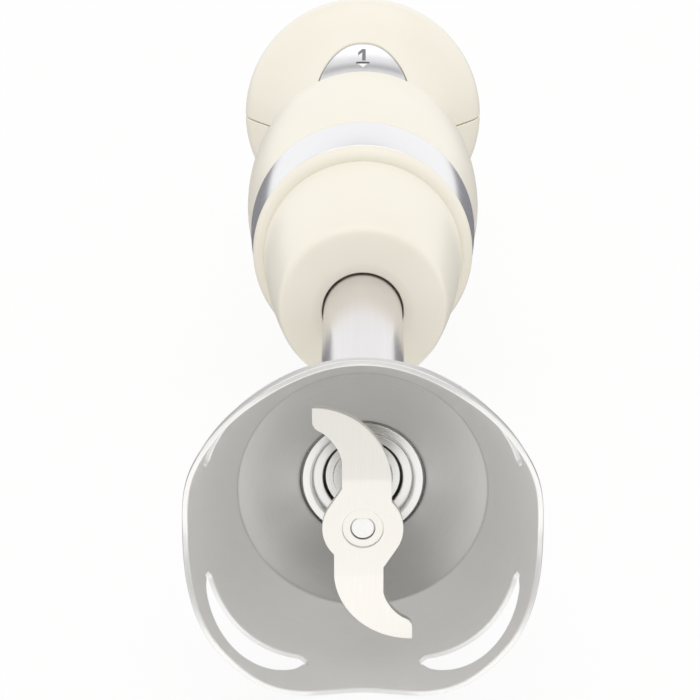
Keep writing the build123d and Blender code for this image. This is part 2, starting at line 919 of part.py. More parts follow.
def brush_holders():
    """Brass box on each side that guides a brush, closed at its outer end."""
    start, end = commutator_r + holder_clear, holder_end
    wide, high = brush_width + 2 * fit_gap, brush_height + 2 * fit_gap
    size = (end - start, wide + 2 * holder_wall, brush_height + 2 * holder_wall)
    box = Pos((start + end) / 2, 0, brush_z()) * Box(*size)
    hollow = Pos((start + end) / 2 - holder_wall, 0, brush_z()) * Box(end - start, wide, high)
    return on_both_sides(box - hollow)


def carbon_brushes():
    """Carbon brush on each side of the commutator."""
    middle = commutator_r + brush_gap + brush_length / 2
    return on_both_sides(Pos(middle, 0, brush_z()) * Box(brush_length, brush_width, brush_height))


def brush_springs():
    """Coil spring behind each brush that keeps it against the commutator."""
    start = commutator_r + brush_gap + brush_length
    place = Plane((start, 0, brush_z()), z_dir=(1, 0, 0))
    wound = coil(brush_spring_r, brush_spring_wire_r, brush_spring_turns, brush_spring_length)
    return on_both_sides(place * wound)


def motor_shaft():
    """Steel shaft from the drive coupling up through the end cap."""
    return rod(motor_shaft_r, z_socket_top - dog_length / 2, z_motor_top)


def cooling_fan():
    """Radial fan on the shaft under the motor."""
    low = z_can - bearing_drop - fan_gap - fan_height
    fan = ring(motor_shaft_r + fit_gap, fan_hub_r, low, low + fan_height)
    fan += ring(fan_hub_r - root, fan_r, low + fan_height - fan_disc, low + fan_height)
    span = fan_r - fan_hub_r + root
    vane = Pos(fan_r - span / 2, 0, low + fan_height / 2) * Box(span, fan_blade_thick, fan_height)
    for number in range(fan_blades):
        fan += Rot(Z=360 / fan_blades * number) * vane
    return fan


def dog_section(grow):
    """Toothed section of the drive coupling."""
    tooth = Rectangle(2 * (dog_out + grow), dog_width + 2 * grow)
    return Circle(dog_r + grow) + PolarLocations(dog_r, dog_count) * tooth


def drive_coupling():
    """Toothed plug on the motor shaft."""
    low = z_socket_top - dog_length
    plug = Pos(Z=low) * extrude(dog_section(0), dog_length + move_gap)
    plug += rod(coupling_r, z_socket_top + move_gap, z_socket_top + move_gap + coupling_height)
    return plug - rod(motor_shaft_r + fit_gap, z_socket_top - dog_length / 2, z_floor)


def driven_coupling():
    """Socket on the spindle that the drive coupling drops into."""
    floor = z_socket_top - dog_length - dog_end_gap
    cup = rod(socket_r, floor - socket_floor, z_socket_top)
    cup += rod(socket_hub_r, floor - spindle_bite, floor)
    cup -= Pos(Z=floor) * extrude(dog_section(dog_gap), dog_length + dog_end_gap)
    return cup - rod(spindle_r + fit_gap, floor - spindle_bite, floor)


pieces = {
    "front_shell": front_shell,
    "back_shell": back_shell,
    "shell_screws": shell_screws,
    "trim_band": trim_band,
    "bayonet_ring": bayonet_ring,
    "cord_gland": cord_gland,
    "speed_button": speed_button,
    "turbo_button": turbo_button,
    "speed_plunger": lambda: plunger(z_upper_switch),
    "turbo_plunger": lambda: plunger(z_lower_switch),
    "speed_spring": lambda: button_spring(z_upper_switch),
    "turbo_spring": lambda: button_spring(z_lower_switch),
    "speed_switch": lambda: switch(z_upper_switch),
    "turbo_switch": lambda: switch(z_lower_switch),
    "control_board": control_board,
    "board_components": board_components,
    "motor_can": motor_can,
    "motor_magnets": motor_magnets,
    "motor_end_cap": motor_end_cap,
    "lower_motor_mount": lambda: motor_mount(lower_mount_z()),
    "upper_motor_mount": lambda: motor_mount(upper_mount_z()),
    "lower_bearing": lower_bearing,
    "upper_bearing": upper_bearing,
    "brush_holders": brush_holders,
    "carbon_brushes": carbon_brushes,
    "brush_springs": brush_springs,
    "motor_shaft": motor_shaft,
    "armature_core": armature_core,
    "armature_windings": armature_windings,
    "commutator": commutator,
    "cooling_fan": cooling_fan,
    "drive_coupling": drive_coupling,
    "driven_coupling": driven_coupling,
    "spindle": spindle,
    "spindle_clip": spindle_clip,
    "slinger": slinger,
    "blade": blade,
    "wand_collar": wand_collar,
    "collar_seal": collar_seal,
    "wand_tube": wand_tube,
    "upper_bush": upper_bush,
    "lower_bush": lower_bush,
    "shaft_seal": shaft_seal,
    "bearing_housing": bearing_housing,
    "foot_bell": foot_bell,
}

# Lay the blender on its back, with its lowest point at height zero and its middle at the origin
lay_down = Pos(0, -z_end / 2, axis_height) * Rot(X=-90)
os.makedirs("parts", exist_ok=True)
for name, make in pieces.items():
    export_step(lay_down * make(), f"parts/{name}.step")
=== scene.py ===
import json
from cmath import exp, phase
from math import asin, atan2, cos, hypot, pi, radians, sin, sqrt, tan, tau

import bmesh
import bpy
import numpy
from mathutils import Matrix, Vector
from mathutils.geometry import interpolate_bezier


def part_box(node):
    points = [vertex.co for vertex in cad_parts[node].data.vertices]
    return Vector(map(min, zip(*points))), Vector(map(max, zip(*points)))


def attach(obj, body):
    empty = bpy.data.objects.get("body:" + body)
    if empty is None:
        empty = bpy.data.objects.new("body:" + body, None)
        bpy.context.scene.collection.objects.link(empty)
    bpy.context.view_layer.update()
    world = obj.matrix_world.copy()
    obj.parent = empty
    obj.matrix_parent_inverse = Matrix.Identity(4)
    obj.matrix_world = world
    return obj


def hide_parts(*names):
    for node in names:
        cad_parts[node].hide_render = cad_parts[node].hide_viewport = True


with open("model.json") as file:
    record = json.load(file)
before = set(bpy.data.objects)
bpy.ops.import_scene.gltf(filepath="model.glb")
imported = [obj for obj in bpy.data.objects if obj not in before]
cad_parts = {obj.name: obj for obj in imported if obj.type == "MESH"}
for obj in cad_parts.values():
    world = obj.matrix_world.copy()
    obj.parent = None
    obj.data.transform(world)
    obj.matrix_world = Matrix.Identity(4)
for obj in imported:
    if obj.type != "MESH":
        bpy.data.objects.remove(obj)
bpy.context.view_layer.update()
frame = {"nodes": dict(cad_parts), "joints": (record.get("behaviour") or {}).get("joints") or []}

# Wand tube: seamless stainless tube, cut square and pressed into the bell's socket and the collar.
# It is drawn and polished, which leaves fine bright lines along its length.
scene = bpy.context.scene
mm = 0.001
foot_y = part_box("foot_bell")[0].y
axis_z = frame["joints"][0]["pos_m"][2]
crease_angle = radians(32)
merge_gap = 0.001
edge_steps = 3
tube_wall = 0.8
tube_edge = 0.15
draw_lines = (0.25, 60.0, 0.25)
line_detail = 3.0
metal_relief = 0.02


def at(x, along, up):
    """Point in millimetres: sideways, along the axis from the foot's rim, and up from the axis."""
    return Vector((x * mm, foot_y + along * mm, axis_z + up * mm))


def measured(point):
    """A point's places in millimetres: sideways, along the axis from the foot's rim, and up from the axis."""
    return point.x / mm, (point.y - foot_y) / mm, (point.z - axis_z) / mm


def span(name):
    """The two ends of a node along the axis and its widest radius, in millimetres."""
    low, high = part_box(name)
    return (low.y - foot_y) / mm, (high.y - foot_y) / mm, (high.x - low.x) / 2 / mm


def turned(section, steps=180, closed=True, turn=tau, side=1):
    """Half section of (radius, height) points, drawn on one side and spun about the axis."""
    bm = bmesh.new()
    points = [bm.verts.new(at(side * radius, along, 0)) for radius, along in section]
    ends = points[1:] + points[:1] if closed else points[1:]
    lines = [bm.edges.new(pair) for pair in zip(points, ends)]
    bmesh.ops.spin(
        bm, geom=points + lines, cent=at(0, 0, 0), axis=(0, 1, 0),
        angle=turn, steps=steps, use_merge=turn == tau,
    )
    bmesh.ops.remove_doubles(bm, verts=bm.verts, dist=merge_gap * mm)
    bmesh.ops.recalc_face_normals(bm, faces=bm.faces)
    return bm


def added(bm, name):
    """Turns a mesh's faces outwards and puts it in the scene as an object."""
    bmesh.ops.recalc_face_normals(bm, faces=bm.faces)
    mesh = bpy.data.meshes.new(name)
    bm.to_mesh(mesh)
    bm.free()
    made = bpy.data.objects.new(name, mesh)
    scene.collection.objects.link(made)
    return made


def fit(bm, name, body, finish, nodes=(), edge=0.0):
    """Makes a mesh a piece of the object: finish, rounded edges, body and the nodes it stands for."""
    piece = added(bm, name)
    piece.data.shade_smooth()
    piece.data.set_sharp_from_angle(angle=crease_angle)
    piece.data.materials.append(finish)
    if edge:
        rounding = piece.modifiers.new("rounded edges", "BEVEL")
        rounding.width = edge * mm
        rounding.segments = edge_steps
        rounding.limit_method = "ANGLE"
        rounding.angle_limit = crease_angle
        rounding.use_clamp_overlap = False
        rounding.harden_normals = True
    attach(piece, body)
    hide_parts(*nodes)
    return piece


def linear(colour):
    """Linear colour of an sRGB hex value."""
    shares = [int(colour[place : place + 2], 16) / 255 for place in (1, 3, 5)]
    return [c / 12.92 if c <= 0.04045 else ((c + 0.055) / 1.055) ** 2.4 for c in shares] + [1.0]


def node(tree, kind, inputs, **settings):
    """Adds a node with its settings, sets or links its inputs, text as a colour, and gives its outputs."""
    made = tree.nodes.new("ShaderNode" + kind)
    for setting, value in settings.items():
        setattr(made, setting, value)
    for socket, value in inputs.items():
        if isinstance(value, bpy.types.NodeSocket):
            tree.links.new(value, made.inputs[socket])
        else:
            made.inputs[socket].default_value = linear(value) if isinstance(value, str) else value
    return made.outputs


def new_finish(name):
    """An empty material, its tree, and coordinates in millimetres from the axis and the foot's rim."""
    made = bpy.data.materials.new(name)
    made.use_nodes = True
    tree = made.node_tree
    tree.nodes.clear()
    place = node(tree, "TexCoord", {})["Object"]
    from_axis = node(tree, "VectorMath", {0: place, 1: (0, foot_y, axis_z)}, operation="SUBTRACT")[0]
    scaled = node(tree, "VectorMath", {0: from_axis, "Scale": 1 / mm}, operation="SCALE")[0]
    return made, tree, scaled


def coat(tree, drift, tones, grain, roughness, relief, depth, looks):
    """Closes a material: its colour drifts between two tones, its roughness and relief follow its grain."""
    both = {"Factor": drift, "A": tones[0], "B": tones[1]}
    colour = node(tree, "Mix", both, data_type="RGBA")[2]
    low, high = roughness
    gloss = node(tree, "MapRange", {"Value": grain, "To Min": low, "To Max": high})["Result"]
    bump = node(tree, "Bump", {"Height": grain, "Strength": relief, "Distance": depth * mm})["Normal"]
    finish = {"Base Color": colour, "Roughness": gloss, "Normal": bump, **looks}
    node(tree, "OutputMaterial", {"Surface": node(tree, "BsdfPrincipled", finish)["BSDF"]})


def lined_metal(name, dark, light, spacing, roughness, relief):
    """Metal worked along straight lines: spacing gives the lines' pitch in millimetres on each axis."""
    made, tree, place = new_finish(name)
    stretch = [1 / size for size in spacing]
    lines = node(tree, "VectorMath", {0: place, 1: stretch}, operation="MULTIPLY")[0]
    grain = node(tree, "TexNoise", {"Vector": lines, "Scale": 1.0, "Detail": line_detail})["Fac"]
    coat(tree, grain, (dark, light), grain, roughness, relief, metal_relief, {"Metallic": 1.0})
    return made


# Polished stainless: a soft mirror whose draw lines smear it a little, drawn coarse enough to show.
drawn_stainless = lined_metal(
    "drawn_stainless", "#E4E1E3", "#F0EDEF", draw_lines, roughness=(0.18, 0.24), relief=0.05
)
tube_foot, tube_top, tube_r = span("wand_tube")
tube_bore = tube_r - tube_wall
tube = turned([(tube_bore, tube_foot), (tube_r, tube_foot), (tube_r, tube_top), (tube_bore, tube_top)])
fit(tube, "polished_tube", "wand", drawn_stainless, ["wand_tube"], tube_edge)

# Foot bell: deep-drawn stainless sheet with a scalloped rim, a crescent slot on each diagonal and a
# stepped neck welded to the tube. It is brushed round and round outside, and satin inside and on its rim.
bell_wall = 1.2
bell_rim = 35.6
bell_arch = 34.4
arch_rise = 7.0
arch_half = 22.0
bell_crease = 25.4
bell_depth = 27.5
roof_hole = 12.9
roof_height = 33.0
roof_round = 1.0
neck_height = 42.0
press_gap = 0.05
slot_reach = 13.4
slot_low = 4.1
slot_high = 11.0
slot_horn = 10.5
slot_tip = 3.0
tip_round = 1.4
tip_left = 0.4
crease_round = 0.4
bell_edge = 0.33
bell_edge_angle = radians(50)
bell_steps = 600
wall_points = 48
rows_below, rows_above, roof_rows = 8, 14, 6
settle_rounds = 4
brush_line = 0.22
brush_turns = 5.0
across_lines = 0.25
satin_smear = 0.4
wall_shine, roof_shine = 0.45, 0.7
socket_top = span("foot_bell")[1]
socket_r = tube_r + press_gap
slot_top = slot_horn + slot_tip
wall_top = bell_depth - crease_round


def arc(start, middle, end, count):
    """Points on the round curve through three points, with both ends."""
    a, b, c = (complex(*point) for point in (start, middle, end))
    ratio = (c - a) / (b - a)
    centre = a - (a - b) * (ratio - abs(ratio) ** 2) / (2j * ratio.imag)
    turn = phase((c - centre) / (a - centre))
    round_points = [centre + (a - centre) * exp(1j * turn * step / count) for step in range(count + 1)]
    return [(point.real, point.imag) for point in round_points]


def softened(before, corner, after, count=6):
    """Points that round a corner between two points."""
    knots = [Vector(point) for point in (before, corner, corner, after)]
    return [tuple(point) for point in interpolate_bezier(*knots, count)]


def run(start, end, count):
    """Points spaced evenly from one point towards another, without the last."""
    return [tuple(Vector(start).lerp(Vector(end), step / count)) for step in range(count)]


wall_line = arc((bell_rim, 0), (bell_arch, arch_rise), (bell_crease, bell_depth), wall_points)
wall_radii, wall_heights = zip(*wall_line)


def bell_r(along):
    """Inner radius of the bell's wall at a height."""
    return float(numpy.interp(along, wall_heights, wall_radii))


def bow(x, middle, ends):
    """Height at x of the round curve through the middle that ends at the slot's horns."""
    rise = ends - middle
    radius = (slot_reach**2 + rise**2) / (2 * rise)
    return middle + radius - sqrt(radius**2 - min(abs(x), slot_reach) ** 2)


def slot_edges(x):
    """Lower and upper edge of a slot, drawn together at its rounded tips."""
    low, high = bow(x, slot_low, slot_horn), bow(x, slot_high, slot_top)
    past = min(max((abs(x) - slot_reach + tip_round) / tip_round, 0), 1)
    middle, half = (low + high) / 2, (high - low) / 2 * sqrt(1 - (1 - tip_left**2) * past**2)
    return middle - half, middle + half


def rim_height(x):
    """Height of the rim: an arch in front, behind and on each side, level at the diagonals."""
    share = min(abs(x) / arch_half, 1)
    return arch_rise * (1 - share**2 * (3 - 2 * share))


def bell_rows(turn):
    """Heights of the rim and of the slot's two edges at an angle, each on its own radius."""
    from_arch = (turn + pi / 4) % (pi / 2) - pi / 4
    from_slot = turn % (pi / 2) - pi / 4
    rim, low, high = 0.0, slot_low, slot_high
    for _ in range(settle_rounds):
        rim = rim_height(bell_r(rim) * sin(from_arch))
        low = slot_edges(bell_r(low) * sin(from_slot))[0]
        high = slot_edges(bell_r(high) * sin(from_slot))[1]
    return rim, low, high


heights = [slot_horn * row / rows_below for row in range(rows_below + 1)]
heights += [slot_top + (wall_top - slot_top) * row / rows_above for row in range(rows_above + 1)]
crease, mouth = Vector((bell_crease, bell_depth)), Vector((roof_hole, roof_height))
roof_line = (mouth - crease).normalized()
roof_start, roof_end = crease + roof_line * crease_round, mouth - roof_line * roof_round
profile = [(bell_r(along), along) for along in heights]
profile += softened(profile[-1], crease, roof_start)[1:-1]
profile += run(roof_start, roof_end, roof_rows)
profile += softened(roof_end, mouth, (roof_hole, roof_height + roof_round))
profile += [(roof_hole, neck_height), (socket_r, tube_foot), (socket_r, socket_top)]
bell = turned(profile, steps=bell_steps, closed=False)
slot_turn = asin(slot_reach / bell_r(slot_top))
slots = []
for face in bell.faces:
    x, along, up = measured(face.calc_center_median())
    if slot_horn < along < slot_top and abs(atan2(x, up) % (pi / 2) - pi / 4) < slot_turn:
        slots.append(face)
bmesh.ops.delete(bell, geom=slots, context="FACES")
for vert in bell.verts:
    x, along, up = measured(vert.co)
    if along < wall_top:
        turn = atan2(x, up)
        along = float(numpy.interp(along, [0, slot_horn, slot_top, wall_top], [*bell_rows(turn), wall_top]))
        vert.co = at(bell_r(along) * sin(turn), along, bell_r(along) * cos(turn))


def rings(tree, place, pitch, turns):
    """Grain of fine rings round the axis that fade in and out along each turn, and how they smear light."""
    axes = node(tree, "SeparateXYZ", {0: place})
    flat = node(tree, "CombineXYZ", {"X": axes["X"], "Z": axes["Z"]})[0]
    radius = node(tree, "VectorMath", {0: flat}, operation="LENGTH")["Value"]
    across = node(tree, "Math", {0: radius, 1: axes["Y"]}, operation="SUBTRACT")[0]
    step = node(tree, "Math", {0: across, 1: pitch}, operation="DIVIDE")[0]
    heading = node(tree, "VectorMath", {0: flat}, operation="NORMALIZE")[0]
    spread = node(tree, "VectorMath", {0: heading, "Scale": turns}, operation="SCALE")[0]
    ways = node(tree, "SeparateXYZ", {0: spread})
    vector = node(tree, "CombineXYZ", {"X": ways["X"], "Y": step, "Z": ways["Z"]})[0]
    grain = node(tree, "TexNoise", {"Vector": vector, "Scale": 1.0, "Detail": line_detail})["Fac"]
    round_axis = node(tree, "VectorMath", {0: (0, 1, 0), 1: flat}, operation="CROSS_PRODUCT")[0]
    return grain, {"Anisotropic Rotation": across_lines, "Tangent": round_axis}


def ringed_metal(name, dark, light, pitch, turns, roughness, relief, anisotropy):
    """Metal turned or polished round the axis, with rings of a pitch in millimetres."""
    made, tree, place = new_finish(name)
    grain, smear = rings(tree, place, pitch, turns)
    looks = {"Metallic": 1.0, "Anisotropic": anisotropy, **smear}
    coat(tree, grain, (dark, light), grain, roughness, relief, metal_relief, looks)
    return made


# Brushed stainless outside. Inside, a soft fan of light on the brushed roof, and the wall painted paler than
# the roof: painted light on the wall and painted shade on the roof of one sheet.
# The real scratches are finer than the picture can show, so they are drawn as coarse as they need to show.
brushed_stainless = ringed_metal(
    "brushed_stainless", "#CFCECC", "#DFDEDC", brush_line, brush_turns,
    roughness=(0.26, 0.36), relief=0.06, anisotropy=0.5,
)
satin_stainless_painted_shade, tree, place = new_finish("satin_stainless_painted_shade")
grain, smear = rings(tree, place, brush_line, brush_turns)
height = node(tree, "SeparateXYZ", {0: place})["Y"]
roof_mask_painted_shade = node(tree, "MapRange", {"Value": height, "From Min": wall_top, "From Max": bell_depth})["Result"]
# Painted light and shade: the wall's tones are paler than the roof's, and the mask by height carries the
# painted shade onto the roof.
wall_tones_painted_light = {"Factor": grain, "A": "#EEEDEB", "B": "#F6F5F3"}
roof_tones_painted_shade = {"Factor": grain, "A": "#CDCCCA", "B": "#D9D8D6"}
tones = [node(tree, "Mix", pair, data_type="RGBA")[2] for pair in (wall_tones_painted_light, roof_tones_painted_shade)]
shine = node(tree, "MapRange", {"Value": roof_mask_painted_shade, "To Min": wall_shine, "To Max": roof_shine})["Result"]
looks = {"Metallic": shine, "Anisotropic": satin_smear, **smear}
coat(tree, roof_mask_painted_shade, tones, grain, roughness=(0.30, 0.40), relief=0.06, depth=metal_relief, looks=looks)
bell_piece = fit(bell, "drawn_bell", "wand", brushed_stainless, ["foot_bell"], bell_edge)
bell_piece.data.materials.append(satin_stainless_painted_shade)
sheet = bell_piece.modifiers.new("sheet", "SOLIDIFY")
sheet.thickness = bell_wall * mm
sheet.offset = 1.0
sheet.material_offset = 1
sheet.material_offset_rim = 1
sheet.use_even_offset = True
bell_piece.modifiers["rounded edges"].angle_limit = bell_edge_angle
bell_piece.modifiers.move(1, 0)

# Bearing housing: turned from stainless bar and pressed into the bell's neck, with a stepped mouth
# round the spindle. Its edges are broken, and the tool leaves fine rings.
lip_gap = 0.45
lip_depth = 0.5
lip_r = 11.1
step_r = 10.25
step_depth = 1.3
recess_r = 8.2
recess_depth = 3.6
housing_bore = 5.55
housing_sleeve_r = 8.0
housing_edge = 0.25
tool_pitch = 0.16
tool_turns = 3.0
housing_face, housing_top, housing_r = span("bearing_housing")
recess = housing_face + step_depth
recess_floor = recess + recess_depth

# Turned stainless: brighter than the bell, each ring of the tool catching the light.
turned_stainless = ringed_metal(
    "turned_stainless", "#DEDDDB", "#ECEBE9", tool_pitch, tool_turns,
    roughness=(0.20, 0.32), relief=0.05, anisotropy=0.3,
)
housing = turned(softened((lip_r, housing_face), (step_r, housing_face), (step_r, recess)) + [
    (recess_r, recess), (recess_r, recess_floor),
    (housing_bore, recess_floor), (housing_bore, housing_top),
    (housing_sleeve_r, housing_top), (housing_sleeve_r, neck_height),
    (housing_r, neck_height), (housing_r, housing_face + lip_depth),
    (roof_hole - lip_gap, housing_face + lip_depth), (roof_hole - lip_gap, housing_face),
])
fit(housing, "turned_housing", "wand", turned_stainless, ["bearing_housing"], housing_edge)

# Bushes: two sintered bronze sleeves, soaked in oil and pressed in at the foot and the head of the tube.
# They stay as the frame has them, brown-gold and open-grained, as do the motor's bearings.
grain_detail = 4.0
grain_relief = 0.1


def grained(name, dark, light, size, roughness, metallic=0.0, relief=0.1):
    """Material of two close colours in a fine grain, whose size is in millimetres."""
    made, tree, place = new_finish(name)
    grain = node(tree, "TexNoise", {"Vector": place, "Scale": 1 / size, "Detail": grain_detail})["Fac"]
    coat(tree, grain, (dark, light), grain, roughness, relief, grain_relief, {"Metallic": metallic})
    return made


def dress(finish, *names):
    """Gives a finish to nodes that keep their own mesh."""
    for name in names:
        for slot in frame["nodes"][name].material_slots:
            slot.material = finish


sintered_bronze = grained(
    "sintered_bronze", "#8C6A3E", "#B08A55", size=0.3, roughness=(0.4, 0.5), metallic=1.0
)
dress(sintered_bronze, "lower_bush", "upper_bush", "lower_bearing", "upper_bearing")

# Shaft seal: moulded rubber ring at the back of the housing's recess, with a lip that wipes the spindle.
# Dull and dark, with a fine bloom.
seal_lip = 0.5
seal_edge = 0.1
spindle_room = 0.04
seal_low, seal_top, seal_r = span("shaft_seal")
spindle_low, spindle_top, spindle_r = span("spindle")
lip_bore = spindle_r + spindle_room
seal_rubber = grained("nitrile_rubber", "#4E4842", "#625B53", size=0.5, roughness=(0.55, 0.68))
seal = turned([
    (lip_bore, seal_low), (lip_bore + seal_lip, seal_low + seal_lip),
    (seal_r - seal_lip, seal_low + seal_lip), (seal_r - seal_lip, seal_low),
    (seal_r, seal_low), (seal_r, seal_top), (lip_bore, seal_top),
])
fit(seal, "lip_seal", "wand", seal_rubber, ["shaft_seal"], seal_edge)
dress(seal_rubber, "collar_seal", "lower_motor_mount", "upper_motor_mount")

# Spindle: ground steel shaft with a groove for its snap ring and a flatted end that drives the blade.
# The flat is milled in front, and the chamfered end is left a little below the blade's face.
end_r = 2.4
end_flat = 1.9
end_chamfer = 0.25
groove_r = 2.5
spindle_steps = 96
hub_low = 8.0
blade_thick = 1.5
hub_back = hub_low + blade_thick
clip_low, clip_top = span("spindle_clip")[:2]
spindle = turned([
    (0, spindle_low), (end_r - end_chamfer, spindle_low), (end_r, spindle_low + end_chamfer),
    (end_r, hub_back), (spindle_r, hub_back),
    (spindle_r, clip_low), (groove_r, clip_low), (groove_r, clip_top), (spindle_r, clip_top),
    (spindle_r, spindle_top - end_chamfer), (spindle_r - end_chamfer, spindle_top), (0, spindle_top),
], steps=spindle_steps, closed=False)
for vert in spindle.verts:
    x, along, up = measured(vert.co)
    if along < hub_back + spindle_room and hypot(x, up) < end_r + spindle_room:
        vert.co = at(x, along, min(up, end_flat))
fit(spindle, "ground_spindle", "spindle", turned_stainless, ["spindle"])
spring_wire = grained(
    "spring_steel", "#8E8F92", "#B4B5B8", size=0.4, roughness=(0.26, 0.34), metallic=1.0, relief=0.03
)
dress(spring_wire, "spindle_clip")

# Slinger: pressed washer on the spindle in front of the seal, with a raised middle, that throws water off.
# Bright pressed steel.
slinger_step_r = 6.1
slinger_edge = 0.2
slinger_low, slinger_top, slinger_r = span("slinger")
slinger_bore = spindle_r + press_gap
slinger_middle = (slinger_low + slinger_top) / 2
slinger = turned([
    (slinger_bore, slinger_low), (slinger_step_r, slinger_low), (slinger_step_r, slinger_middle),
    (slinger_r, slinger_middle), (slinger_r, slinger_top), (slinger_bore, slinger_top),
])
fit(slinger, "pressed_slinger", "spindle", turned_stainless, ["slinger"], slinger_edge)

# Blade: stamped from hardened stainless sheet, with both arms folded towards the roof of the bell.
# Its hub is coined round the flatted hole, where the spindle's end is riveted in.
hub_r = 8.0
arm_outer = 5.7
arm_inner = 4.1
arm_fold = 10.2
arm_tilt = radians(7)
fold_round = 0.5
fold_cuts = (-1, -0.5, 0, 0.5, 1)
blade_tip = (-9.9, 24.7)
tip_end = 4.0
hook_round = 2.2
back_bow = (2.4, 18.9)
hook_bow = (-5.6, 17.4)
hook_root = 14.0
gusset_angle = radians(33)
coin_r = 4.1
coin_slope = 0.12
coin_depth = 0.25
coin_steps = 64
back_points, hook_points, corner_points, hub_points = 28, 24, 8, 20
hole_gap = 0.05
blade_edge = 0.1
grind_lines = (0.2, 2.0, 8.0)


def blade_arm():
    """Outline of the front arm and the hub beside it, as (sideways, up) points in turn."""
    tip_low = (blade_tip[0], blade_tip[1] - tip_end)
    back = arc((arm_outer, arm_fold), back_bow, blade_tip, back_points)
    hook = arc(tip_low, hook_bow, (-arm_inner, hook_root), hook_points)
    kept = [point for point in hook if (Vector(point) - Vector(tip_low)).length > hook_round]
    corner = softened((tip_low[0], tip_low[1] + hook_round), tip_low, kept[0], corner_points)
    out, up = hub_r * cos(gusset_angle), hub_r * sin(gusset_angle)
    gusset = (-arm_inner, up + (out - arm_inner) / tan(gusset_angle))
    hub = arc((-out, up), (-hub_r, 0), (-arm_outer, -sqrt(hub_r**2 - arm_outer**2)), hub_points)
    return back + corner + kept[1:] + [gusset] + hub


def loop(bm, places):
    """Closed loop of edges through some places."""
    verts = [bm.verts.new(place) for place in places]
    return [bm.edges.new(pair) for pair in zip(verts, verts[1:] + verts[:1])]


def new_verts(made):
    """Vertices among what an operator made."""
    return [item for item in made["geom"] if isinstance(item, bmesh.types.BMVert)]


def drawn_on(bm, edges, goal):
    """Extrudes an open edge, puts each new vertex where goal says, and gives the new open edge."""
    fresh = set(new_verts(bmesh.ops.extrude_edge_only(bm, edges=edges)))
    for vert in fresh:
        vert.co = goal(*measured(vert.co))
    return [edge for edge in bm.edges if edge.is_boundary and set(edge.verts) <= fresh]


def everything(bm):
    """All that a mesh holds."""
    return bm.verts[:] + bm.edges[:] + bm.faces[:]


def backed(bm):
    """Copies a skin as its own back, joins the two at the edges, and gives the back's vertices."""
    return new_verts(bmesh.ops.extrude_face_region(bm, geom=everything(bm), use_keep_orig=True))


front_arm = blade_arm()
outline = front_arm + [(-x, -up) for x, up in front_arm]
coin_turns = [tau * step / coin_steps for step in range(coin_steps)]
coin = [(coin_r * cos(turn), coin_r * sin(turn)) for turn in coin_turns]
floor_share = 1 - coin_slope / coin_r
hole_share = (end_r + hole_gap) / (coin_r - coin_slope)
hole_flat = end_flat + hole_gap
coin_floor = hub_low + coin_depth
blade = bmesh.new()
face_edges = loop(blade, [at(x, hub_low, up) for x, up in outline])
coin_rim = loop(blade, [at(x, hub_low, up) for x, up in coin])
bmesh.ops.triangle_fill(blade, use_beauty=True, use_dissolve=False, edges=face_edges + coin_rim)
coin_rim = drawn_on(blade, coin_rim, lambda x, along, up: at(x * floor_share, coin_floor, up * floor_share))
drawn_on(blade, coin_rim, lambda x, along, up: at(x * hole_share, along, min(up * hole_share, hole_flat)))
for side in (-1, 1):
    for share in fold_cuts:
        fold = at(0, 0, side * (arm_fold + share * fold_round))
        bmesh.ops.bisect_plane(
            blade, geom=everything(blade), dist=merge_gap * mm, plane_co=fold, plane_no=(0, 0, 1)
        )
for vert in backed(blade):
    vert.co.y = at(0, hub_back, 0).y
for vert in blade.verts:
    x, along, up = measured(vert.co)
    past = abs(up) - arm_fold
    if past > -fold_round:
        bent = past if past > fold_round else (past + fold_round) ** 2 / (4 * fold_round)
        vert.co = at(x, along + bent * tan(arm_tilt), up)
# Satin stainless: pale and slightly warm, ground in fine lines along the arms.
blade_steel = lined_metal(
    "satin_blade_steel", "#E4E1DA", "#F0EDE7", grind_lines, roughness=(0.34, 0.46), relief=0.04
)
fit(blade, "stamped_blade", "spindle", blade_steel, ["blade"], blade_edge)

# Wand collar: moulded in cream ABS on the tube, with a rounded nose below and a spigot above whose
# three lugs turn into the handle. The tube runs into a dark relief in its nose.
tube_gap = 0.3
nose_lip = 2.0
nose_r = 20.3
nose_rise = 2.9
nose_bend = 0.75
nose_bend_rise = 1 / 3
nose_gap_depth = 4.0
nose_round = 3.4
collar_height = 43.7
collar_r = 25.3
collar_bow = 0.7
joint_line = 0.08
spigot_step = 3.8
spigot_wall = 4.5
ledge_height = 1.5
lug_count = 3
lug_out = 1.9
lug_arc = radians(28)
lug_height = 3.0
lug_up = 5.5
collar_edge = 0.35
nose_points, collar_points, shoulder_points = 14, 28, 12
wall_reach = 0.5
drift_detail = 2.0
peel_detail = 1.0
plastic_relief = 0.05
nose, spigot_top = span("wand_collar")[:2]
bead_foot, sleeve_top = span("bayonet_ring")[:2]
joint = nose + collar_height
spigot_r = collar_r - spigot_step
cavity_r = spigot_r - spigot_wall
collar_hole = tube_r + tube_gap
nose_top = nose + nose_rise
nose_middle = (nose_bend * nose_r, nose + nose_bend_rise * nose_rise)
nose_curve = arc((collar_hole + nose_lip, nose), nose_middle, (nose_r, nose_top), nose_points)
collar_middle = ((nose_r + collar_r) / 2 + collar_bow, (nose_top + joint) / 2)
collar_side = arc((nose_r, nose_top), collar_middle, (collar_r, bead_foot - joint_line), collar_points)
kept_nose = [point for point in nose_curve if nose_r - point[0] > nose_round]
kept_side = [point for point in collar_side if point[1] - nose_top > nose_round]
shoulder = softened(kept_nose[-1], (nose_r, nose_top), kept_side[0], shoulder_points)
lug_low = joint + lug_up
lug_top = lug_low + lug_height
collar = turned(kept_nose + shoulder[1:-1] + kept_side + [
    (spigot_r, bead_foot - joint_line), (spigot_r, lug_low), (spigot_r, lug_top), (spigot_r, spigot_top),
    (cavity_r, spigot_top), (cavity_r, tube_top + ledge_height),
    (tube_bore, tube_top + ledge_height), (tube_bore, tube_top),
    (tube_r, tube_top), (tube_r, nose + nose_gap_depth),
    (collar_hole, nose + nose_gap_depth), (collar_hole, nose),
])


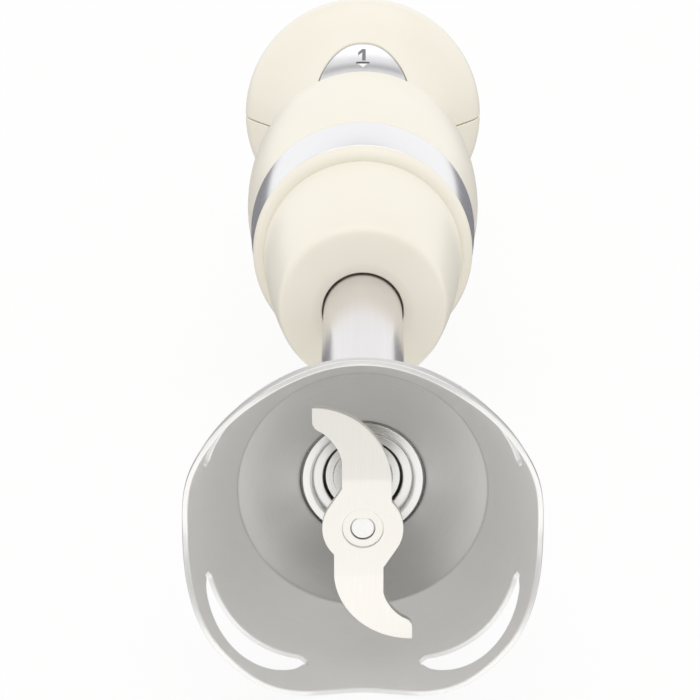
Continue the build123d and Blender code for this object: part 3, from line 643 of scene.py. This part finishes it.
def pushed(bm, from_r, to_r, windows):
    """Pushes stretches of a round wall to another radius: each of (low, high, start, arc), on every lug."""
    chosen = []
    for face in bm.faces:
        x, along, up = measured(face.calc_center_median())
        on_wall = abs(hypot(x, up) - from_r) < wall_reach
        for low, high, start, reach in windows:
            if on_wall and low < along < high and (atan2(-up, x) - start) % (tau / lug_count) < reach:
                chosen.append(face)
    moved = new_verts(bmesh.ops.extrude_face_region(bm, geom=chosen))
    bmesh.ops.delete(bm, geom=chosen, context="FACES")
    for vert in moved:
        x, along, up = measured(vert.co)
        vert.co = at(x * to_r / from_r, along, up * to_r / from_r)


pushed(collar, spigot_r, spigot_r + lug_out, [(lug_low, lug_top, 0, lug_arc)])


def moulded(name, dark, light, cloud, peel, roughness, relief):
    """Moulded plastic: a faint drift of tone, and the soft orange peel of the mould."""
    made, tree, place = new_finish(name)
    drift = node(tree, "TexNoise", {"Vector": place, "Scale": 1 / cloud, "Detail": drift_detail})["Fac"]
    skin = node(tree, "TexNoise", {"Vector": place, "Scale": 1 / peel, "Detail": peel_detail})["Fac"]
    coat(tree, drift, (dark, light), skin, roughness, relief, plastic_relief, {})
    return made


# Cream ABS: warm ivory, half gloss from a polished mould.
cream_abs = moulded(
    "moulded_cream_abs", "#F0EADA", "#F5F0E3", cloud=25.0, peel=0.9, roughness=(0.28, 0.36), relief=0.08
)
fit(collar, "moulded_collar", "wand", cream_abs, ["wand_collar"], collar_edge)

# Driven coupling: toothed socket pressed on the spindle, with the plug that drops into it on the motor's
# shaft. Both are moulded in natural acetal, as the fan and the switch plungers are.
natural_acetal = moulded(
    "natural_acetal", "#E6E3DA", "#EFEDE6", cloud=12.0, peel=0.8, roughness=(0.35, 0.45), relief=0.06
)
dress(natural_acetal, "driven_coupling", "drive_coupling", "cooling_fan", "speed_plunger", "turbo_plunger")

# Bayonet ring: lower end of the handle, moulded in the same cream ABS. Its rounded bead shows under the
# band, and three grooves inside let the collar's lugs in and turn them home.
bead_height = 5.3
bead_r = 28.2
bead_top_r = 27.9
bead_foot_r = 25.7
bead_swell = 2 / 3
bead_points = 20
sleeve_r = 27.0
sleeve_wall = 2.2
seal_room = 0.9
floor_up = 14.0
floor_thick = 2.5
floor_hole = 5.0
lug_room = radians(2)
groove_room = 0.35
bead_edge = 0.5
twist = radians(next(made["range_deg"][1] for made in frame["joints"] if made["name"] == "wand_twist"))
bead_top = joint + bead_height
floor_low = joint + floor_up
ring_bore = spigot_r + seal_room
groove_low, groove_top = lug_low - groove_room, lug_top + groove_room
bead_middle = (bead_r, joint + bead_swell * bead_height)
ring = turned(arc((bead_foot_r, bead_foot), bead_middle, (bead_top_r, bead_top), bead_points) + [
    (sleeve_r, bead_top), (sleeve_r, sleeve_top),
    (sleeve_r - sleeve_wall, sleeve_top), (sleeve_r - sleeve_wall, floor_low + floor_thick),
    (floor_hole, floor_low + floor_thick), (floor_hole, floor_low),
    (ring_bore, floor_low), (ring_bore, groove_top), (ring_bore, groove_low), (ring_bore, bead_foot),
])
groove_arc = lug_arc + 2 * lug_room
pushed(ring, ring_bore, spigot_r + lug_out + groove_room, [
    (groove_low, groove_top, -lug_room, groove_arc + twist),
    (bead_foot, groove_low, twist - lug_room, groove_arc),
])
fit(ring, "bead_ring", "handle", cream_abs, ["bayonet_ring"], bead_edge)

# Trim band: thin metal band with a slight swell, clipped round the ring's sleeve.
# It is rolled, plated and polished.
band_low_r = 28.0
band_bow = 0.25
band_edge = 0.25
band_steps = 256
band_points = 16
polish_pitch = 0.6
band_low, band_top, band_top_r = span("trim_band")
band_bore = sleeve_r + press_gap
band_middle = ((band_low_r + band_top_r) / 2 + band_bow, (band_low + band_top) / 2)
band_face = arc((band_low_r, band_low), band_middle, (band_top_r, band_top), band_points)
band = turned(band_face + [(band_bore, band_top), (band_bore, band_low)], steps=band_steps)
# Chrome plate: a clean mirror, with only the faintest polishing haze.
chrome_plate = ringed_metal(
    "chrome_plate", "#EFEFF1", "#F5F5F7", polish_pitch, tool_turns,
    roughness=(0.16, 0.22), relief=0.01, anisotropy=0.0,
)
fit(band, "chromed_band", "handle", chrome_plate, ["trim_band"], band_edge)

# Motor: drawn and zinc-plated can with two ferrite magnets, a slotted steel core, enamelled windings and a
# copper commutator. Its pieces stay as the frame has them, closed in the handle.
sheet_lines = (40.0, 0.5, 40.0)
wire_lines = (4.0, 0.6, 4.0)
zinc_plate = grained(
    "zinc_plate", "#A9ACB0", "#C6C8CB", size=6.0, roughness=(0.28, 0.36), metallic=1.0, relief=0.03
)
dress(zinc_plate, "motor_can")
dress(grained("ferrite_magnet", "#2B2B2D", "#3A3A3C", size=0.4, roughness=(0.65, 0.75)), "motor_magnets")
dress(spring_wire, "motor_shaft", "brush_springs", "speed_spring", "turbo_spring")
brass_sheet = grained(
    "brass_sheet", "#B8935A", "#CBA76B", size=3.0, roughness=(0.26, 0.34), metallic=1.0, relief=0.03
)
dress(brass_sheet, "brush_holders")
dress(grained("carbon_brush", "#1F1F20", "#313133", size=0.3, roughness=(0.55, 0.65)), "carbon_brushes")
lamination_steel = lined_metal(
    "lamination_steel", "#5C5D60", "#8B8C90", sheet_lines, roughness=(0.35, 0.5), relief=0.3
)
dress(lamination_steel, "armature_core")
enamelled_copper = lined_metal(
    "enamelled_copper", "#8A4320", "#B9673A", wire_lines, roughness=(0.25, 0.4), relief=0.4
)
dress(enamelled_copper, "armature_windings", "commutator")

# Circuit board: green glass-epoxy board screwed to posts in the back shell, with two snap switches and the
# motor's rectifier, capacitor and choke.
black_phenolic = moulded(
    "black_phenolic", "#1D1D1F", "#29292B", cloud=10.0, peel=0.6, roughness=(0.4, 0.5), relief=0.08
)
dress(black_phenolic, "motor_end_cap", "speed_switch", "turbo_switch")
glass_epoxy = grained(
    "glass_epoxy_board", "#1F5A36", "#2B7046", size=1.2, roughness=(0.36, 0.44), relief=0.05
)
dress(glass_epoxy, "control_board")
component_case = grained(
    "component_case", "#3A3F4A", "#4C525F", size=1.5, roughness=(0.38, 0.46), relief=0.05
)
dress(component_case, "board_components")

# Back shell: half of the handle, injection moulded in cream ABS, with the screws' wells and five vents.
# It meets the front half at a fine seam along both sides.
shell_wall = 2.2
seam_gap = 0.25
shell_edge = 0.42
bulge_r = 31.2
bulge_rise = 27.5
waist_r = 20.7
waist_rise = 58.0
head_rise = 32.3
dome_height = 21.7
gland_hole = 6.55
# Shares of a stretch over which its curve leaves one end and meets the other.
band_lean, band_hold = 0.6, 0.4
bulge_hold, waist_hold = 0.69, 0.21
flare_start, flare_end = 0.53, 0.29
dome_side, dome_flat = 0.78, 0.56
stretch_rows = (20, 44, 30, 40)
half_steps = 120
well_r = 2.95
well_wall = 1.3
post_sides = 48
well_seat = 8.0
screw_hole = 1.6
overlap = 0.5
screw_places = [(side * x, along) for x, along in ((18.0, 268.0), (20.0, 321.5)) for side in (-1, 1)]
vent_count = 5
vent_width = 1.8
vent_length = 11.0
vent_round = 0.8
vent_round_steps = 5
vent_step = radians(12)
vent_height = 306.0
shell_low, head_r = span("back_shell")[::2]
bulge = shell_low + bulge_rise
waist = bulge + waist_rise
head = waist + head_rise
dome = head + dome_height
room_top = head + dome_height / 2
lean_r = band_top_r + band_lean * (bulge_r - band_top_r)


def stretch(low_r, low, high_r, high, leave, meet):
    """Knots of the handle's curve between two heights, which it leaves and meets over shares of its rise."""
    rise = high - low
    return [(low_r, low + leave * rise), (high_r, high - meet * rise), (high_r, high)]


lower = stretch(lean_r, shell_low, bulge_r, bulge, band_hold, band_hold)
upper = stretch(bulge_r, bulge, waist_r, waist, bulge_hold, waist_hold)
flare = stretch(waist_r, waist, head_r, head, flare_start, flare_end)
crown = [(head_r, head + dome_side * dome_height), (dome_flat * head_r, dome), (0, dome)]
handle_line = [Vector((band_top_r, shell_low))]
for knots, count in zip((lower, upper, flare, crown), stretch_rows):
    handle_line += interpolate_bezier(handle_line[-1], *map(Vector, knots), count + 1)[1:]
handle_line = [tuple(point) for point in handle_line if point[0] > gland_hole]
line_radii, line_heights = zip(*handle_line)


def handle_r(along):
    """Outer radius of the handle at a height."""
    return float(numpy.interp(along, line_heights, line_radii))


def half_skin(side):
    """Outer skin of the front half, where side is 1, or of the back half, where it is -1."""
    bm = turned(handle_line, steps=half_steps, closed=False, turn=pi, side=-side)
    bm.faces.ensure_lookup_table()
    middle = bm.faces[0].calc_center_median()
    if bm.faces[0].normal.dot(middle - at(0, measured(middle)[1], 0)) < 0:
        bmesh.ops.reverse_faces(bm, faces=bm.faces)
    return bm


def thicken(bm, side, straight=lambda x, along: 0.0):
    """Gives a skin its wall: along its normals, or straight back by the share that straight gives."""
    bm.normal_update()
    for vert in backed(bm):
        x, along, up = measured(vert.co)
        share = straight(x, along)
        vert.co -= vert.normal * shell_wall * mm
        if share:
            depth = sqrt((handle_r(along) - shell_wall) ** 2 - x**2)
            vert.co = vert.co.lerp(at(x, along, depth), share)
    for vert in bm.verts:
        x, along, up = measured(vert.co)
        seam = side * seam_gap / 2 if abs(up) < seam_gap else up
        vert.co = at(x, max(along, shell_low), seam)


def post(bm, radius, x, along, near, far):
    """Adds a rod that stands across the axis, between two places above it."""
    place = Matrix.Translation(at(x, along, (near + far) / 2))
    size = {"radius1": radius * mm, "radius2": radius * mm, "depth": abs(far - near) * mm}
    bmesh.ops.create_cone(bm, cap_ends=True, segments=post_sides, matrix=place, **size)


def work(piece, steps):
    """Joins, cuts or crops a piece with each tool in turn, then removes the tools."""
    for operation, cutter in steps:
        step = piece.modifiers.new(operation, "BOOLEAN")
        step.operation = operation
        step.object = cutter
        step.solver = "EXACT"
    graph = bpy.context.evaluated_depsgraph_get()
    shaped = bpy.data.meshes.new_from_object(piece.evaluated_get(graph))
    piece.modifiers.clear()
    piece.data = shaped
    for operation, cutter in steps:
        bpy.data.objects.remove(cutter)


back = half_skin(-1)
thicken(back, -1)
back_piece = fit(back, "moulded_back", "handle", cream_abs, ["back_shell"], shell_edge)
bosses, wells = bmesh.new(), bmesh.new()
for x, along in screw_places:
    post(bosses, well_r + well_wall, x, along, -seam_gap / 2, -head_r)
    post(wells, well_r, x, along, -well_seat, -head_r - overlap)
    post(wells, screw_hole, x, along, overlap, -well_seat - overlap)
room_line = [(radius - shell_wall / 2, along) for radius, along in handle_line if along < room_top]
room = turned([(0, room_line[0][1])] + room_line + [(0, room_line[-1][1])], closed=False)
boss_tool = added(bosses, "bosses")
work(boss_tool, [("INTERSECT", added(room, "room"))])
vents = bmesh.new()
for number in range(vent_count):
    turn = Matrix.Rotation((number - (vent_count - 1) / 2) * vent_step, 4, "Y")
    size = Matrix.Diagonal((vent_width * mm, vent_length * mm, head_r * mm, 1))
    down = Matrix.Translation((0, 0, -head_r * mm))
    place = Matrix.Translation(at(0, vent_height, 0)) @ turn @ down @ size
    bmesh.ops.create_cube(vents, size=1.0, matrix=place)
corners = [edge for edge in vents.edges if edge.calc_length() > 2 * vent_length * mm]
bmesh.ops.bevel(
    vents, geom=corners, offset=vent_round * mm, segments=vent_round_steps,
    profile=0.5, affect="EDGES", material=-1,
)
cuts = [("DIFFERENCE", added(wells, "wells")), ("DIFFERENCE", added(vents, "vents"))]
work(back_piece, [("UNION", boss_tool)] + cuts)

# Front shell: the other half, moulded alike, with the opening of the button panel in its waist.
# The opening's edge is rounded by the mould.
panel_top = 16.5
panel_length = 32.5
panel_half = 13.2
panel_corner = 12.0
panel_turn = radians(52)
panel_room = 3.0
panel_rings = 6
straight_near, straight_far = 1.0, 4.0
panel_high = waist + panel_top
panel_low = panel_high - panel_length
core_half = panel_half - panel_corner
core_low, core_high = panel_low + panel_corner, panel_high - panel_corner


def panel_core(x, along):
    """Nearest place of the panel's inner rectangle, which its outline keeps the corner's radius from."""
    return min(max(x, -core_half), core_half), min(max(along, core_low), core_high)


def beside_panel(x, along):
    """Share by which the wall runs straight back: all of it at the panel's edge and none further off."""
    core_x, core_along = panel_core(x, along)
    away = hypot(x - core_x, along - core_along) - panel_corner
    return min(max((straight_far - away) / (straight_far - straight_near), 0), 1)


def on_handle(x, along, raised=0.0):
    """Point of the handle's front surface."""
    return at(x, along, sqrt(handle_r(along) ** 2 - x**2) + raised)


def towards_panel(x, along, share):
    """Point of the handle a share of the way to the panel's outline."""
    core_x, core_along = panel_core(x, along)
    reach = panel_corner / hypot(x - core_x, along - core_along)
    goal_x, goal_along = core_x + (x - core_x) * reach, core_along + (along - core_along) * reach
    return on_handle(x + (goal_x - x) * share, along + (goal_along - along) * share)


front = half_skin(1)
window = []
for face in front.faces:
    x, along, up = measured(face.calc_center_median())
    if abs(atan2(x, up)) < panel_turn and panel_low - panel_room < along < panel_high + panel_room:
        window.append(face)
window_edges = {edge for face in window for edge in face.edges}
bmesh.ops.delete(front, geom=window, context="FACES_ONLY")
lip = [edge for edge in window_edges if edge.is_valid and edge.is_boundary]
loose = [edge for edge in window_edges if edge.is_valid and edge.is_wire]
bmesh.ops.delete(front, geom=loose, context="EDGES")
for number in range(panel_rings):
    share = 1 / (panel_rings - number)
    lip = drawn_on(front, lip, lambda x, along, up: towards_panel(x, along, share))
thicken(front, 1, beside_panel)
fit(front, "moulded_front", "handle", cream_abs, ["front_shell"], shell_edge)

# Buttons: two moulded caps that fill the panel and slide straight down on their springs, lacquered silver.
# The upper one starts the motor and the lower one gives full speed.
panel_gap = 0.35
button_split = 16.0
button_depth = 3.4
button_rings = 12
button_edge = 0.4
knee_points, edge_points, split_points = 16, 6, 24
split = panel_high - button_split
button_half = panel_half - panel_gap
button_corner = panel_corner - panel_gap


def button_outline(side):
    """Outline of the upper button, where side is 1, or the lower, as (sideways, height) points."""
    edge = split + side * panel_gap / 2
    bend = core_high if side > 0 else core_low
    end = bend + side * button_corner
    diagonal = button_corner * sin(pi / 4)
    knee = (core_half + diagonal, bend + side * diagonal)
    right = arc((button_half, bend), knee, (core_half, end), knee_points)
    left = [(-x, along) for x, along in reversed(right)]
    outline = run((button_half, edge), right[0], edge_points) + right[:-1]
    outline += run(right[-1], left[0], edge_points) + left[:-1]
    outline += run(left[-1], (-button_half, edge), edge_points)
    return outline + run((-button_half, edge), (button_half, edge), split_points)


def button(side):
    """Mesh of one button, its skin flush with the handle."""
    bm = bmesh.new()
    points = button_outline(side)
    middle = sum(along for x, along in points) / len(points)
    edges = loop(bm, [on_handle(x, along) for x, along in points])
    for left in range(button_rings, 0, -1):
        share = (left - 1) / left
        edges = drawn_on(
            bm, edges, lambda x, along, up: on_handle(x * share, middle + (along - middle) * share)
        )
    bmesh.ops.remove_doubles(bm, verts=bm.verts, dist=merge_gap * mm)
    bmesh.ops.translate(bm, vec=(0, 0, -button_depth * mm), verts=backed(bm))
    return bm


# Silver lacquer on plastic: a pale metallic coat, smooth enough to mirror softly.
silver_lacquer = grained(
    "silver_lacquer", "#DCDCDE", "#E6E6E8", size=0.25, roughness=(0.20, 0.26), metallic=1.0, relief=0.01
)
for name, side in (("speed_button", 1), ("turbo_button", -1)):
    fit(button(side), "silver_" + name, name, silver_lacquer, [name], button_edge)

# Marks on the upper button: a printed numeral over a bar and a small pointer. Pad-printed ink,
# thinner than paper, that follows the button's surface.
ink_thick = 0.03
ink_lift = 0.05
ink_step = 0.4
ink_grain = 0.2
ink_gloss = (0.45, 0.55)
numeral_low, numeral_high = 301.2, 305.7
stem_left, stem_right = -0.2, 0.85
stroke_left, stroke_drop, stroke_thick = -1.35, 1.2, 1.1
bar_half, bar_low, bar_high = 1.95, 299.8, 300.45
pointer_half, pointer_top, pointer_tip = 1.35, 299.3, 297.2


def flat(corners):
    """Mesh of one flat face."""
    bm = bmesh.new()
    bm.faces.new([bm.verts.new(corner) for corner in corners])
    return bm


def printed(name, outline, ink):
    """Lays an outline of (sideways, height) points on the button as a thin film."""
    bm = flat([(x, along, 0) for x, along in outline])
    for axis, normal in enumerate(((1, 0, 0), (0, 1, 0))):
        low, high = (pick(vert.co[axis] for vert in bm.verts) for pick in (min, max))
        for number in range(1, int((high - low) / ink_step) + 1):
            cut = Vector(normal) * (low + number * ink_step)
            bmesh.ops.bisect_plane(bm, geom=everything(bm), dist=merge_gap, plane_co=cut, plane_no=normal)
    top = set(backed(bm))
    for vert in bm.verts:
        vert.co = on_handle(vert.co.x, vert.co.y, ink_lift + (ink_thick if vert in top else 0))
    fit(bm, name, "speed_button", ink)


dark_ink = grained("dark_ink", "#4E4E50", "#5A5A5C", ink_grain, ink_gloss)
grey_ink = grained("grey_ink", "#747476", "#828284", ink_grain, ink_gloss)
white_ink = grained("white_ink", "#F2F2F0", "#FAFAF8", ink_grain, ink_gloss)
numeral = [
    (stem_right, numeral_low), (stem_right, numeral_high), (stem_left, numeral_high),
    (stroke_left, numeral_high - stroke_drop), (stroke_left, numeral_high - stroke_drop - stroke_thick),
    (stem_left, numeral_high - stroke_thick), (stem_left, numeral_low),
]
printed("numeral", numeral, grey_ink)
bar = [(-bar_half, bar_low), (bar_half, bar_low), (bar_half, bar_high), (-bar_half, bar_high)]
printed("numeral_bar", bar, dark_ink)
pointer = [(-pointer_half, pointer_top), (0, pointer_tip), (pointer_half, pointer_top)]
printed("pointer", pointer, white_ink)

# Screws: four pan-head screws driven in from the back, deep in their wells. Zinc-plated steel with a
# cross recess.
screw_r = 1.45
screw_bite = 8.0
screw_head = 2.0
screw_head_r = 2.8
screw_edge = 0.25
cross_width = 0.7
cross_length = 3.4
cross_depth = 1.2
screws, recesses = bmesh.new(), bmesh.new()
for x, along in screw_places:
    post(screws, screw_r, x, along, screw_bite, -well_seat - screw_edge)
    post(screws, screw_head_r, x, along, -well_seat, -well_seat - screw_head)
    for width, length in ((cross_width, cross_length), (cross_length, cross_width)):
        size = Matrix.Diagonal((width * mm, length * mm, 2 * cross_depth * mm, 1))
        place = Matrix.Translation(at(x, along, -well_seat - screw_head))
        bmesh.ops.create_cube(recesses, size=1.0, matrix=place @ size)
screw_piece = fit(screws, "cross_screws", "handle", zinc_plate, ["shell_screws"], screw_edge)
work(screw_piece, [("DIFFERENCE", added(recesses, "recesses"))])

# Cord gland: soft cream bush pressed into the top of the head, with a rounded lip and a bore for the cord.
# Moulded rubber, duller than the shells.
gland_r = 6.5
gland_bore = 3.5
gland_lip = 1.8
flange_r = 8.6
flange_thick = 2.0
flange_gap = 0.3
lip_edge = 0.5
gland_low, gland_top = span("cord_gland")[:2]
lip_low = gland_top - gland_lip
flange_top = lip_low - shell_wall - flange_gap
gland = turned([
    (gland_bore, gland_low), (gland_r, gland_low), (gland_r, flange_top - flange_thick),
    (flange_r, flange_top - flange_thick), (flange_r, flange_top),
    (gland_r, flange_top), (gland_r, lip_low), (gland_r - gland_lip / 2, gland_top), (gland_bore, gland_top),
])
cream_rubber = moulded(
    "cream_rubber", "#E3DCC9", "#EAE4D4", cloud=8.0, peel=0.5, roughness=(0.5, 0.6), relief=0.12
)
fit(gland, "gland_bush", "handle", cream_rubber, ["cord_gland"], lip_edge)

# Studio: pale floor that the camera and mirrors see as white, one large soft box overhead and even light
# all round. Felt flags and a glowing card before the foot, a little brighter towards it, show only in
# reflections, where they draw the edges of the metal.
floor_half = 3.0
floor_white = 0.9
world_fill = 0.95
box_size = 1.4
box_height = 1.3
box_power = 2.6
flag_near, flag_far = -0.12, 1.1
flag_in, flag_out = 0.03, 0.5
flag_height = 0.001
rim_flag_near, rim_flag_far = -0.45, -0.1205
rim_flag_in, rim_flag_out = 0.1, 0.7
rim_flag_height = 0.002
back_half = 0.8
back_y = 0.95
back_low, back_high = 0.66, 1.05
hood_half = 2.0
hood_y = -1.3
hood_low, hood_high = 0.25, 1.6
glow_half = 0.6
glow_near, glow_far = -1.0, -0.17
glow_low, glow_high = 1.2, 1.26
grade_start, grade_end = -85.0, -20.0


def seen_directly(tree, amount):
    """Amount for camera, glossy and transmission rays, and nothing for the rest."""
    path = node(tree, "LightPath", {})
    either = {0: path["Is Camera Ray"], 1: path["Is Glossy Ray"]}
    seen = {0: node(tree, "Math", either, operation="MAXIMUM")[0], 1: path["Is Transmission Ray"]}
    shown = {0: node(tree, "Math", seen, operation="MAXIMUM")[0], 1: amount}
    return node(tree, "Math", shown, operation="MULTIPLY")[0]


def card(name, corners, finish):
    """Flat stage card."""
    made = added(flat(corners), name)
    made.data.materials.append(finish)
    return made


def flag(name, corners, finish):
    """Card that only reflections show."""
    made = card(name, corners, finish)
    for ray in ("camera", "diffuse", "shadow", "transmission"):
        setattr(made, "visible_" + ray, False)


def lying(left, right, near, far, height):
    """Corners of a card that lies flat."""
    return [(left, near, height), (right, near, height), (right, far, height), (left, far, height)]


def standing(half, y, low, high):
    """Corners of a card that stands across the axis."""
    return [(-half, y, low), (half, y, low), (half, y, high), (-half, y, high)]


def felt(name, colour):
    """Dull cloth of one colour."""
    made, tree = new_finish(name)[:2]
    node(tree, "OutputMaterial", {"Surface": node(tree, "BsdfDiffuse", {"Color": colour})[0]})
    return made


pale_floor, tree = new_finish("pale_floor")[:2]
shade = node(tree, "BsdfDiffuse", {"Color": "#F2F2F0"})[0]
glow = node(tree, "Emission", {"Color": "#FFFFFF", "Strength": 1.0})[0]
mixed = node(tree, "MixShader", {0: seen_directly(tree, floor_white), 1: shade, 2: glow})[0]
node(tree, "OutputMaterial", {"Surface": mixed})
card("floor", lying(-floor_half, floor_half, -floor_half, floor_half, 0), pale_floor)
grey_felt = felt("grey_felt", "#87868A")
for side, way in ((-1, "left"), (1, "right")):
    beside = lying(side * flag_in, side * flag_out, flag_near, flag_far, flag_height)
    flag("floor_flag_" + way, beside, grey_felt)
    ahead = lying(side * rim_flag_in, side * rim_flag_out, rim_flag_near, rim_flag_far, rim_flag_height)
    flag("rim_flag_" + way, ahead, grey_felt)
flag("front_hood", standing(hood_half, hood_y, hood_low, hood_high), felt("dark_felt", "#666568"))
flag("back_flag", standing(back_half, back_y, back_low, back_high), felt("pale_felt", "#BEBDC0"))
white_card, tree, place = new_finish("white_card")
grade = {"Value": node(tree, "SeparateXYZ", {0: place})["Y"], "From Min": grade_start, "From Max": grade_end}
strength = node(tree, "MapRange", {**grade, "To Min": glow_low, "To Max": glow_high})["Result"]
glow = node(tree, "Emission", {"Color": "#FFFFFF", "Strength": strength})[0]
node(tree, "OutputMaterial", {"Surface": glow})
flag("front_card", lying(-glow_half, glow_half, glow_near, glow_far, flag_height), white_card)

world = bpy.data.worlds.new("studio")
scene.world = world
world.use_nodes = True
tree = world.node_tree
tree.nodes.clear()
level = {"Value": seen_directly(tree, 1.0), "To Min": world_fill, "To Max": 1.0}
strength = node(tree, "MapRange", level)["Result"]
sky = node(tree, "Background", {"Color": "#FFFFFF", "Strength": strength})[0]
node(tree, "OutputWorld", {"Surface": sky})

lamp = bpy.data.lights.new("soft_box", "AREA")
lamp.shape = "SQUARE"
lamp.size = box_size
lamp.energy = box_power
soft_box = bpy.data.objects.new("soft_box", lamp)
soft_box.location = (0, 0, box_height)
scene.collection.objects.link(soft_box)

# Camera: stands before the foot and looks down along the object, where the photograph was taken from.
# Its long lens keeps the far head large.
camera_place = (0, -0.66835, 0.2530)
camera_tilt = radians(70.29)
camera_lens = 142.97
camera_sensor = 36.0
camera_shift = -0.0183
view = bpy.data.cameras.new("camera")
view.lens = camera_lens
view.sensor_width = camera_sensor
view.shift_x = camera_shift
camera = bpy.data.objects.new("camera", view)
camera.location = camera_place
camera.rotation_euler = (camera_tilt, 0, 0)
scene.collection.objects.link(camera)
scene.camera = camera
scene.view_settings.view_transform = "Standard"
